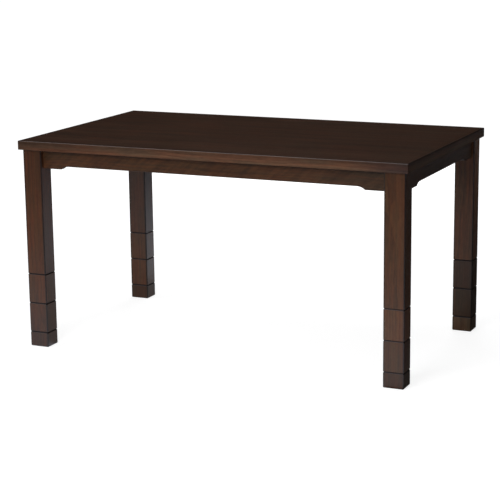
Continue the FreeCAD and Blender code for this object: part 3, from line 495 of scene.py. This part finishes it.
def wear_and_painted_light(g, look, plain, bent, colour):
    """The stain's darker arrises and joints, the joints partly painted shade, rubbed thin in places, and a
    highlight painted on crests.
    """
    normal = g.add("SeparateXYZ", Vector=g.add("TexCoord").outputs["Normal"]).outputs
    if look["upper"]:
        colour = g.mix(g.span(normal[2], *UPPER_COSINES), colour, look["upper"](g, bent))
    edge = g.rounding()
    colour = multiplied(g, colour, [look["rim"]] * 3, edge)
    rub = g.math("MULTIPLY", g.span(g.noise(RUBS), *RUB_SPAN), RUB_STRENGTH)
    colour = multiplied(g, colour, RUB_GAIN, g.math("MULTIPLY", edge, rub))
    # A highlight painted on crests that look up and face front or back
    if look["crest"]:
        slope_up = g.math("MULTIPLY", g.span(normal[2], *HIGHLIGHT_RISING), g.span(normal[2], *HIGHLIGHT_LEVEL))
        frontal = g.span(g.math("ABSOLUTE", normal[1]), *HIGHLIGHT_FRONTAL)
        crest = g.math("MULTIPLY", g.math("MULTIPLY", slope_up, frontal), look["crest"])
        colour = g.mix(crest, colour, linear(*PAINTED_HIGHLIGHT_TONE))
    if look["lines"]:
        colour = multiplied(g, colour, LINE_SHADE, look["lines"](g, plain))
    # Dark joint lines: stain in the grooves and painted shade of the gaps
    for level in look["joints"]:
        seam = look["seam"]
        colour = multiplied(g, colour, (seam, seam, seam * SEAM_BLUE), near_level(g, plain, level))
    return colour


def wood(name, grain, tones, seed, **choices):
    """Stained wood with its grain along one axis, between a lightest and a darkest tone."""
    look = {**WOOD_LOOK, **choices}
    draw = random.Random(seed)
    g = Graph(name)
    plain = g.add("TexCoord").outputs["Object"]
    own = look["across"](g, plain) if look["across"] else plain
    shift = [draw.uniform(-SEED_REACH, SEED_REACH) for _ in range(3)]
    base = g.place(turn=GRAIN_TURNS[grain], shift=shift, vector=own)
    bent = wandering(g, base, look["bend"])
    rings = growth_rings(g, bent, draw.uniform(*RING_TURNS))
    fibre = g.noise(FIBRES, bent)
    pore = g.span(g.noise(PORES, bent), *PORE_SPAN)
    light, dark = [linear(*tone) for tone in tones]
    colour = g.mix(wood_figure(g, look, base, bent, fibre, rings), dark, light)
    colour = stain_and_painted_shading(g, look, own, base, bent, colour)
    colour = multiplied(g, colour, PORE_SHADE, g.math("MULTIPLY", pore, look["pores"]))
    g.put(g.shader.inputs["Base Color"], wear_and_painted_light(g, look, plain, bent, colour))
    g.roughen(look["satin"], [(fibre, FIBRE_ROUGHNESS)], g.math("MULTIPLY", pore, PORE_ROUGHNESS))
    g.shader.inputs["Specular IOR Level"].default_value = look["shine"]
    pits = g.math("MULTIPLY", pore, look["pores"])
    g.relief(g.math("SUBTRACT", g.math("MULTIPLY", fibre, FIBRE_HEIGHT), pits), *WOOD_RELIEF)
    return g.material


def top_corner():
    """The top's highest corner, at the back right. Its X and Y are half of the table's length and depth."""
    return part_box("top_edge_lipping")[1]


def near_level(g, plain, level):
    """1 close to a joint at a height above the floor, fading to 0."""
    height = g.add("SeparateXYZ", Vector=plain).outputs[2]
    offset = g.math("ABSOLUTE", g.math("SUBTRACT", height, level + JOINT_OFFSET))
    return g.span(offset, *JOINT_REACH)


def drift(stops, depths, depth_tones):
    """Painted light and shade as a slow change of tone, in stops of (from, to, tone) along X, and between
    two depths under the top.
    """
    heights = [top_corner().z - depth for depth in depths]

    def tones(g, own):
        parts = g.add("SeparateXYZ", Vector=own).outputs
        colour = [1, 1, 1, 1]
        for low, high, tone in stops:
            colour = g.mix(g.span(parts[0], low, high), colour, list(tone) + [1])
        level = g.span(parts[2], *heights, *depth_tones)
        grey = g.add("CombineColor", Red=level, Green=level, Blue=level).outputs[0]
        return g.mix(1.0, colour, grey, "MULTIPLY")

    return tones


def insets(g, vector, centre, half):
    """How far a point lies inside an upright face, along X and along Y."""
    parts = g.add("SeparateXYZ", Vector=vector).outputs
    found = []
    for axis in (0, 1):
        offset = g.math("ABSOLUTE", g.math("SUBTRACT", parts[axis], centre[axis]))
        found.append(g.math("SUBTRACT", half[axis], offset))
    return found


def post_lines(centre, half):
    """How dark the upright arrises of a post are, where stain gathers."""
    def mask(g, plain):
        inset_x, inset_y = insets(g, plain, centre, half)
        return g.span(g.math("MAXIMUM", inset_x, inset_y), *POST_REACH, 0.0, POST_STRENGTH)

    return mask


def rim_lines(g, plain):
    """How dark the outer arris of the top is, but for its front."""
    corner = top_corner()
    inset_x, inset_y = insets(g, plain, (0, 0), corner)
    near = g.span(g.math("MINIMUM", inset_x, inset_y), *RIM_REACH)
    parts = g.add("SeparateXYZ", Vector=plain).outputs
    behind = g.span(parts[1], *[inset - corner.y for inset in RIM_FRONT])
    high = g.span(parts[2], *[corner.z - depth for depth in RIM_DEPTHS])
    return g.math("MULTIPLY", g.math("MULTIPLY", near, behind), g.math("MULTIPLY", high, RIM_STRENGTH))


def turned_where(g, vector, mask):
    """Swaps X and Y where the mask is 1, so that the grain runs along the other axis there."""
    parts = g.add("SeparateXYZ", Vector=vector)
    swapped = g.add("CombineXYZ", X=parts.outputs[1], Y=parts.outputs[0], Z=parts.outputs[2])
    node = g.add("Mix", {"data_type": "VECTOR"})
    g.put(node.inputs[0], mask)
    g.put(node.inputs[4], vector)
    g.put(node.inputs[5], swapped.outputs[0])
    return node.outputs[1]


def short_strips(g, vector):
    """Turns the grain of the strips along the short sides of the top, up to the mitres."""
    inset_x, inset_y = insets(g, vector, (0, 0), top_corner())
    return turned_where(g, vector, g.math("LESS_THAN", inset_x, inset_y))


def crossbars(g, vector):
    """Turns the grain of the two bars between the heater's rails."""
    along = g.add("SeparateXYZ", Vector=vector).outputs[0]
    return turned_where(g, vector, g.math("LESS_THAN", g.math("ABSOLUTE", along), CROSSBAR_HALF))


def top_face(g, bent):
    """The tone of the top board, which the edge strips take on their upper face."""
    light, dark = [linear(*tone) for tone in TOP_TONES]
    return g.mix(g.noise(TOP_STREAKS, bent), dark, light)


def metal(name, tone, roughness, grain=METAL_GRAIN, metallic=1.0, wear=0.5):
    """Metal or paint with a fine grain, dull patches and brighter edges."""
    g = Graph(name)
    colour = linear(*tone)
    fine = g.noise((grain, *METAL_FINE))
    cloud = g.noise(METAL_CLOUDS)
    worn_off = g.math("MULTIPLY", g.span(cloud, *METAL_WEAR_SPAN), wear)
    edge = g.math("MULTIPLY", g.edge(METAL_EDGE_RADIUS), worn_off)
    shade = g.mix(g.span(cloud, *METAL_DULL_SPAN), scaled(colour, METAL_DULL_SHADE), colour)
    bright = scaled(colour, METAL_WORN_GAIN, METAL_WORN_LIFT)
    g.put(g.shader.inputs["Base Color"], g.mix(edge, shade, bright))
    g.shader.inputs["Metallic"].default_value = metallic
    g.roughen(roughness, list(zip((fine, cloud), METAL_ROUGHNESSES)))
    g.relief(fine, *METAL_RELIEF)
    return g.material


def matter(name, tone, roughness, grain=900, relief=0.3, shine=0.4):
    """Moulded plastic, ceramic or felt: one colour, clouded, with a fine texture."""
    g = Graph(name)
    colour = linear(*tone)
    fine = g.noise(([grain] * 3, *MATTER_FINE))
    cloud = g.noise(MATTER_CLOUDS)
    g.put(g.shader.inputs["Base Color"], g.mix(cloud, scaled(colour, MATTER_SHADE), colour))
    g.roughen(roughness, [(fine, MATTER_ROUGHNESS)])
    g.shader.inputs["Specular IOR Level"].default_value = shine
    g.relief(fine, relief, MATTER_DEPTH)
    return g.material


def quartz():
    """Clear tube glass, faintly clouded along its length."""
    g = Graph("quartz")
    cloud = g.noise(QUARTZ_CLOUDS)
    light, dark = [linear(*tone) for tone in QUARTZ_TONES]
    g.put(g.shader.inputs["Base Color"], g.mix(cloud, dark, light))
    g.put(g.shader.inputs["Roughness"], g.math("MULTIPLY", cloud, QUARTZ_ROUGHNESS))
    g.shader.inputs["Transmission Weight"].default_value = 1.0
    g.shader.inputs["IOR"].default_value = QUARTZ_IOR
    return g.material


def loft(rings):
    """Points and faces of a closed body through rings of points."""
    count = len(rings[0])
    points = [point for ring in rings for point in ring]
    faces = [tuple(range(count)), tuple(range(len(points) - count, len(points)))]
    for row in range(len(rings) - 1):
        for k in range(count):
            a = row * count + k
            b = row * count + (k + 1) % count
            faces.append((a, b, b + count, a + count))
    return points, faces


def round_ring(centre, axis, sides, radius):
    """A ring of points around an axis. radius is a length, or gives one for an angle."""
    side = axis.orthogonal().normalized()
    other = axis.cross(side)
    ring = []
    for k in range(sides):
        angle = 2 * math.pi * k / sides
        reach = radius(angle) if callable(radius) else radius
        ring.append(centre + (side * math.cos(angle) + other * math.sin(angle)) * reach)
    return ring


def joined(parts):
    """Several (points, faces) as one."""
    points = []
    faces = []
    for more, loops in parts:
        faces += [tuple(len(points) + index for index in loop) for loop in loops]
        points += more
    return points, faces


def piece(name, shape, material, body, node):
    """A mesh piece that rides on a body and stands for a CAD node."""
    mesh = bpy.data.meshes.new(name)
    mesh.from_pydata(shape[0], [], shape[1])
    build = bmesh.new()
    build.from_mesh(mesh)
    bmesh.ops.recalc_face_normals(build, faces=build.faces)
    build.to_mesh(mesh)
    build.free()
    mesh.shade_smooth()
    mesh.set_sharp_from_angle(angle=SHARP_ANGLE)
    mesh.materials.append(material)
    shown = bpy.data.objects.new(name, mesh)
    bpy.context.collection.objects.link(shown)
    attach(shown, body)
    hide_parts(node)


def solids_of(frame, node):
    """The points of each separate solid of a CAD node."""
    build = bmesh.new()
    build.from_mesh(frame["nodes"][node].data)
    bmesh.ops.remove_doubles(build, verts=build.verts, dist=WELD)
    solids = []
    seen = set()
    for vert in build.verts:
        if vert in seen:
            continue
        seen.add(vert)
        found = [vert]
        for member in found:
            for edge in member.link_edges:
                near = edge.other_vert(member)
                if near not in seen:
                    seen.add(near)
                    found.append(near)
        solids.append([member.co.copy() for member in found])
    build.free()
    return solids


def rod_of(points, axis):
    """Start, length and radius of the straight rod that these points belong to."""
    along = [point.dot(axis) for point in points]
    middle = sum(points, Vector()) / len(points)
    start = middle + axis * (min(along) - middle.dot(axis))
    radius = max((point - start - axis * (point - start).dot(axis)).length for point in points)
    return start, max(along) - min(along), radius


def threaded(rod, axis, stretches):
    """A rod with screw threads. Each stretch is (from, to, pitch, depth), in metres along the rod."""
    start, length, radius = rod
    heights = {0.0, length}
    for low, high, pitch, _ in stretches:
        count = round((high - low) / pitch * THREAD_STEPS)
        heights.update(low + (high - low) * k / count for k in range(count + 1))

    def reach_at(height):
        for low, high, pitch, depth in stretches:
            if low <= height <= high:
                ends = min(1, (height - low) / pitch, (high - height) / pitch)
                return lambda angle: radius - depth + depth * ends * abs(
                    2 * ((height / pitch - angle / (2 * math.pi)) % 1) - 1
                )
        return radius

    rings = []
    for height in sorted(heights):
        rings.append(round_ring(start + axis * height, axis, THREAD_SIDES, reach_at(height)))
    return loft(rings)


def wire(path, radius, sides):
    """A round wire along a path of points."""
    rings = []
    side = (path[1] - path[0]).orthogonal().normalized()
    for number, here in enumerate(path):
        ahead = (path[min(number + 1, len(path) - 1)] - path[max(number - 1, 0)]).normalized()
        side = (side - ahead * side.dot(ahead)).normalized()
        other = ahead.cross(side)
        turns = [2 * math.pi * k / sides for k in range(sides)]
        rings.append([here + (side * math.cos(turn) + other * math.sin(turn)) * radius for turn in turns])
    return loft(rings)


def make_studs(frame, zinc):
    """The studs of the leg blocks: a wood thread below the joint and a finer machine thread above it."""
    for corner in CORNERS:
        for section in SECTIONS:
            stud = corner + "_" + section
            rod = rod_of(solids_of(frame, stud + "_stud")[0], UP)
            stretches = [(*STUD_WOOD_ENDS, *WOOD_THREAD), (STUD_MACHINE_START, rod[1], *MACHINE_THREAD)]
            shape = threaded(rod, UP, stretches)
            piece("threads_" + stud, shape, zinc, stud + "_carrier", stud + "_stud")


def make_hanger_bolts(frame, zinc):
    """The hanger bolts: a wood thread in the leg, a plain middle and a machine thread under the nut."""
    bolts = []
    for points in solids_of(frame, "hanger_bolts"):
        inward = Vector((-math.copysign(1, points[0].x), -math.copysign(1, points[0].y), 0)).normalized()
        rod = rod_of(points, inward)
        nut_end = (rod[1] - HANGER_MACHINE_LENGTH, rod[1])
        stretches = [(*HANGER_WOOD_ENDS, *WOOD_THREAD), (*nut_end, *MACHINE_THREAD)]
        bolts.append(threaded(rod, inward, stretches))
    piece("hanger_bolt_threads", joined(bolts), zinc, "frame", "hanger_bolts")


def make_elements(frame, material):
    """The wound heating wires in the quartz tubes, with a straight lead at each end."""
    along = Vector((1, 0, 0))
    straight = COIL_LEAD * COIL_LEAD_STRAIGHT
    coils = []
    for points in solids_of(frame, "heating_elements"):
        start, length, radius = rod_of(points, along)
        turns = round((length - 2 * COIL_LEAD) / COIL_PITCH)
        path = [start, start + along * straight]
        for step in range(turns * COIL_STEPS + 1):
            angle = 2 * math.pi * step / COIL_STEPS
            place = COIL_LEAD + (length - 2 * COIL_LEAD) * step / (turns * COIL_STEPS)
            out = Vector((0, math.cos(angle), math.sin(angle))) * (radius - COIL_WIRE)
            path.append(start + along * place + out)
        path += [start + along * (length - straight), start + along * length]
        coils.append(wire(path, COIL_WIRE, COIL_WIRE_SIDES))
    piece("heating_coils", joined(coils), material, "frame", "heating_elements")


def blade_chord(share):
    """A blade's width at a share of the way from root to tip."""
    widening = math.sin(math.pi / 2 * min(share / BLADE_WIDEST_SHARE, 1))
    chord = BLADE_CHORD * (BLADE_ROOT_CHORD_SHARE + (1 - BLADE_ROOT_CHORD_SHARE) * widening)
    if share > BLADE_TIP_SHARE:
        rounding = (share - BLADE_TIP_SHARE) / (1 - BLADE_TIP_SHARE)
        chord *= math.sqrt(1 - BLADE_TIP_TAPER * rounding ** 2)
    return chord


def fan_blade(root, tip, middle):
    """One cambered blade that widens and flattens outwards, with rounded corners at its tip."""
    rings = []
    across = [-1 + 2 * k / BLADE_STEPS for k in range(BLADE_STEPS + 1)]
    for row in range(BLADE_ROWS + 1):
        share = row / BLADE_ROWS
        radius = root + (tip - root) * share
        chord = blade_chord(share)
        pitch = BLADE_ROOT_PITCH + (BLADE_TIP_PITCH - BLADE_ROOT_PITCH) * share
        ring = []
        for side in (1, -1):
            for step in across[::side]:
                turn = step * chord / 2 * math.cos(pitch) / radius
                thick = side * BLADE_THICKNESS / 2 * math.sqrt(max(BLADE_THINNEST, 1 - step ** 4))
                height = step * chord / 2 * math.sin(pitch) + BLADE_CAMBER * (0.5 - step ** 2) + thick
                ring.append(Vector((radius * math.cos(turn), radius * math.sin(turn), middle + height)))
        rings.append(ring)
    return loft(rings)


def make_impeller(material):
    """The fan: blades on a domed hub, and its shaft."""
    low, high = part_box("fan_impeller")
    foot = Vector((0, 0, low.z))
    profile = [(height * MM, radius * MM) for height, radius in HUB_PROFILE]
    profile.append((high.z - low.z, profile[-1][1]))
    parts = [loft([round_ring(foot + UP * height, UP, HUB_SIDES, radius) for height, radius in profile])]
    for number in range(BLADE_COUNT):
        turn = Matrix.Rotation(2 * math.pi * number / BLADE_COUNT, 3, "Z")
        points, faces = fan_blade(BLADE_ROOT, high.x, low.z + HUB_HEIGHT / 2)
        parts.append(([turn @ point for point in points], faces))
    piece("fan_wheel", joined(parts), material, "fan", "fan_impeller")


def dress(frame, node, material):
    """Gives a node of the frame one material on every face."""
    mesh = frame["nodes"][node].data
    mesh.materials.clear()
    mesh.materials.append(material)


def dress_top(frame):
    """The top board, and the strips that edge it."""
    top = wood(
        "wood_top_panel", "x", TOP_TONES, TOP_SEED,
        figure=1.5, streak=1.9, fleck=0.0, cloud=0.6, patches=0.5, pores=0.6,
        bend=0.02, satin=0.5, shine=0.06, rim=1.0,
    )
    dress(frame, "top_panel", top)
    # The edge strips carry painted shade towards both ends, a painted gradient lighter lower down their
    # front, and a painted highlight
    lipping = wood(
        "wood_top_edge", "x", EDGE_TONES, EDGE_SEED,
        patches=0.5, shine=0.1, rim=0.8, crest=0.3, across=short_strips, upper=top_face, lines=rim_lines,
        drift=drift(EDGE_STOPS, EDGE_DEPTHS, EDGE_DEPTH_TONES),
    )
    dress(frame, "top_edge_lipping", lipping)


def dress_aprons(frame):
    """The aprons, each a board of its own."""
    for number, side in enumerate(("front", "back", "left", "right")):
        grain = "x" if side in ("front", "back") else "y"
        # Each apron gets painted shade just under the top, and the front one a darker, cooler painted shade
        # towards its right end
        stops = FRONT_APRON_STOPS if side == "front" else ()
        material = wood(
            "wood_apron_" + side, grain, APRON_TONES, APRON_SEED + number,
            slant=1.5, patches=0.4, drift=drift(stops, APRON_DEPTHS, APRON_DEPTH_TONES),
        )
        dress(frame, "apron_" + side, material)


def dress_legs(frame):
    """The four lengths of each leg, every one a board of its own."""
    for number, corner in enumerate(CORNERS):
        leg = LEG_LOOKS[corner]
        blocks = [corner + "_" + section for section in SECTIONS]
        low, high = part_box("leg_" + corner)
        # The lengths carry painted light and shade in their tones and under the top, and a painted highlight
        # on their crests
        shared = {
            "patches": 0.5, "crest": 0.2, "seam": leg["seam"],
            "joints": [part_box(block)[1].z for block in blocks],
            "lines": post_lines((low + high) / 2, (high - low) / 2),
            "drift": drift((), leg["depths"], leg["depth_tones"]),
        }
        for index, node in enumerate(["leg_" + corner] + blocks):
            tone, warmth = leg["lengths"][index]
            seed = LEG_SEED + LEG_SEED_STEP * number + index
            material = wood("wood_" + node, "z", LEG_TONES, seed, tone=tone, warmth=warmth, **shared)
            dress(frame, node, material)


def dress_inner_wood(frame):
    """The unstained wood under the top."""
    plain = wood(
        "wood_plain", "y", RAIL_TONES, RAIL_SEED,
        satin=0.6, shine=0.3, patches=0.15, rim=0.85, across=crossbars,
    )
    for node in ("frame_rails", "corner_blocks", "apron_dowels"):
        dress(frame, node, plain)


def dress_fittings(frame):
    """The pads under the top, the nuts, bolts and studs, and the heater."""
    zinc = metal("zinc", tone=(196, 196, 190), roughness=0.42)
    fittings = ["flange_nuts", "leg_insert_nuts", "heater_screws"]
    for corner in CORNERS:
        fittings += [corner + "_" + section + "_insert_nut" for section in SECTIONS[:2]]
    for node in fittings:
        dress(frame, node, zinc)
    felt = matter("felt", tone=(40, 38, 38), roughness=0.95, grain=1400, relief=0.9, shine=0.1)
    dress(frame, "top_pads", felt)
    paint = metal("casing_paint", tone=(44, 44, 46), roughness=0.5, metallic=0.0, wear=0.3)
    dress(frame, "heater_casing", paint)
    bright = metal("bright", tone=(228, 228, 230), roughness=0.22, grain=(30, 900, 900))
    dress(frame, "heater_reflector", bright)
    dress(frame, "quartz_tubes", quartz())
    make_studs(frame, zinc)
    make_hanger_bolts(frame, zinc)
    make_elements(frame, metal("element", tone=(120, 112, 104), roughness=0.5))
    ceramic = matter("ceramic", tone=(236, 232, 222), roughness=0.7, grain=700, relief=0.4)
    dress(frame, "tube_holders", ceramic)
    black = matter("black_plastic", tone=(32, 32, 33), roughness=0.5)
    dress(frame, "thermal_cutout", black)
    dress(frame, "cord_inlet", black)
    iron = metal("motor_iron", tone=(110, 112, 114), roughness=0.5, grain=(60, 60, 1500))
    dress(frame, "fan_motor", iron)
    make_impeller(metal("fan_metal", tone=(200, 200, 202), roughness=0.35))
    dress(frame, "wire_guard", metal("plated_wire", tone=(190, 190, 190), roughness=0.25))


def white_rays(nodes, links):
    """1 for rays from the camera, through gloss and through glass, and 0 for the rest."""
    path = nodes.new("ShaderNodeLightPath")
    names = ("Is Camera Ray", "Is Glossy Ray", "Is Transmission Ray")
    total = path.outputs[names[0]]
    for name in names[1:]:
        node = nodes.new("ShaderNodeMath")
        node.operation = "MAXIMUM"
        links.new(total, node.inputs[0])
        links.new(path.outputs[name], node.inputs[1])
        total = node.outputs[0]
    return total


def make_world():
    """A white background to the eye, and a dim cool fill on the object."""
    world = bpy.data.worlds.new("studio")
    bpy.context.scene.world = world
    world.use_nodes = True
    nodes = world.node_tree.nodes
    links = world.node_tree.links
    fill = nodes["Background"]
    fill.inputs["Color"].default_value = WORLD_TINT
    fill.inputs["Strength"].default_value = WORLD_LIGHT
    white = nodes.new("ShaderNodeBackground")
    white.inputs["Color"].default_value = (1, 1, 1, 1)
    white.inputs["Strength"].default_value = 1.0
    mix = nodes.new("ShaderNodeMixShader")
    links.new(white_rays(nodes, links), mix.inputs[0])
    links.new(fill.outputs[0], mix.inputs[1])
    links.new(white.outputs[0], mix.inputs[2])
    links.new(mix.outputs[0], nodes["World Output"].inputs[0])


def square(half):
    """The corners of a square around the middle."""
    return [(-half, -half), (half, -half), (half, half), (-half, half)]


def either(g, factor, first, second):
    """One shader's output where the factor is 0, and another's where it is 1."""
    mix = g.add("MixShader")
    g.put(mix.inputs[0], factor)
    g.put(mix.inputs[1], first)
    g.put(mix.inputs[2], second)
    return mix.outputs[0]


def make_floor():
    """A pale floor, white to the camera where no shadow falls, and clear from below."""
    mesh = bpy.data.meshes.new("floor")
    corners = [(x, y, FLOOR_LEVEL) for x, y in square(FLOOR_SIZE / 2)]
    mesh.from_pydata(corners, [], [(0, 1, 2, 3)])
    floor = bpy.data.objects.new("floor", mesh)
    bpy.context.collection.objects.link(floor)
    g = Graph("floor")
    distance = g.add("VectorMath", {"operation": "LENGTH"})
    g.put(distance.inputs[0], g.add("TexCoord").outputs["Object"])
    glow = g.span(distance.outputs["Value"], *FLOOR_GLOW_REACH, *FLOOR_GLOW)
    seen = g.add("LightPath").outputs["Is Camera Ray"]
    light = g.add("Emission", Color=g.mix(seen, FLOOR_MIRRORED, [1, 1, 1, 1]), Strength=glow)
    shade = g.add("BsdfDiffuse", Color=[FLOOR_SHADE] * 3 + [1])
    both = g.add("AddShader")
    g.put(both.inputs[0], light.outputs[0])
    g.put(both.inputs[1], shade.outputs[0])
    plain = g.add("BsdfDiffuse", Color=[FLOOR_BOUNCE] * 3 + [1])
    above = either(g, white_rays(g.nodes, g.links), plain.outputs[0], both.outputs[0])
    under = g.add("NewGeometry").outputs["Backfacing"]
    surface = either(g, under, above, g.add("BsdfTransparent").outputs[0])
    g.put(g.nodes["Material Output"].inputs[0], surface)
    mesh.materials.append(g.material)


def studio_card(name, corners, shade):
    """A card of the studio, which only reflections show."""
    mesh = bpy.data.meshes.new(name)
    mesh.from_pydata(corners, [], [tuple(range(len(corners)))])
    card = bpy.data.objects.new(name, mesh)
    bpy.context.collection.objects.link(card)
    g = Graph(name)
    glow = g.add("Emission", Color=[shade] * 3 + [1], Strength=1.0)
    g.put(g.nodes["Material Output"].inputs[0], glow.outputs[0])
    mesh.materials.append(g.material)
    card.visible_camera = False
    card.visible_shadow = False
    card.visible_diffuse = False
    card.visible_transmission = False


def make_cards():
    """The unlit room around the table, and the cards on its floor."""
    turns = square(ROOM_HALF)
    for number, first in enumerate(turns):
        second = turns[(number + 1) % 4]
        wall = [(*first, ROOM_FOOT), (*second, ROOM_FOOT), (*second, ROOM_HEIGHT), (*first, ROOM_HEIGHT)]
        studio_card("room_wall_%d" % number, wall, CARD_SHADE)
    studio_card("room_ceiling", [(x, y, ROOM_HEIGHT) for x, y in turns], CARD_SHADE)
    for name, height, shade, corners in FLOOR_CARDS:
        studio_card(name, [(x, y, height) for x, y in corners], shade)


def make_lights():
    """Soft rectangular lamps, each turned to its target."""
    for name, place, target, width, height, watts, mirrored in LAMPS:
        lamp = bpy.data.lights.new(name, "AREA")
        lamp.shape = "RECTANGLE"
        lamp.size = width
        lamp.size_y = height
        lamp.energy = watts
        holder = bpy.data.objects.new(name, lamp)
        bpy.context.collection.objects.link(holder)
        holder.location = place
        holder.rotation_euler = (Vector(target) - Vector(place)).to_track_quat("-Z", "Y").to_euler()
        holder.visible_glossy = mirrored


def make_camera():
    """The camera, at the photograph's viewing angle."""
    data = bpy.data.cameras.new("camera")
    data.sensor_width = SENSOR_WIDTH
    data.lens = CAMERA_FOCUS_PIXELS / PHOTO_PIXELS * SENSOR_WIDTH
    camera = bpy.data.objects.new("camera", data)
    bpy.context.collection.objects.link(camera)
    ahead = Vector((
        -math.sin(CAMERA_YAW) * math.cos(CAMERA_TILT),
        math.cos(CAMERA_YAW) * math.cos(CAMERA_TILT),
        -math.sin(CAMERA_TILT),
    ))
    level = Vector((math.cos(CAMERA_YAW), math.sin(CAMERA_YAW), 0))
    upright = level.cross(ahead)
    right = level * math.cos(CAMERA_ROLL) + upright * math.sin(CAMERA_ROLL)
    up = upright * math.cos(CAMERA_ROLL) - level * math.sin(CAMERA_ROLL)
    turn = Matrix((right, up, -ahead)).transposed().to_4x4()
    camera.matrix_world = Matrix.Translation(CAMERA_PLACE) @ turn
    bpy.context.scene.camera = camera


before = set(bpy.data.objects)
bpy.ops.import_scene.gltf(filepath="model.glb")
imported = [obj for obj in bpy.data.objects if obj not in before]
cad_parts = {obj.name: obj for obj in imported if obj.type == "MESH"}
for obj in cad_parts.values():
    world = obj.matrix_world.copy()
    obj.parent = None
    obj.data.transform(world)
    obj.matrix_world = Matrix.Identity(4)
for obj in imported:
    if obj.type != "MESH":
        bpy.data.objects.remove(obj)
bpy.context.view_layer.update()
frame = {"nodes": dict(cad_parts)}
make_camera()
make_world()
make_floor()
make_cards()
make_lights()
dress_top(frame)
dress_aprons(frame)
dress_legs(frame)
dress_inner_wood(frame)
dress_fittings(frame)
bpy.context.scene.view_settings.view_transform = "Standard"
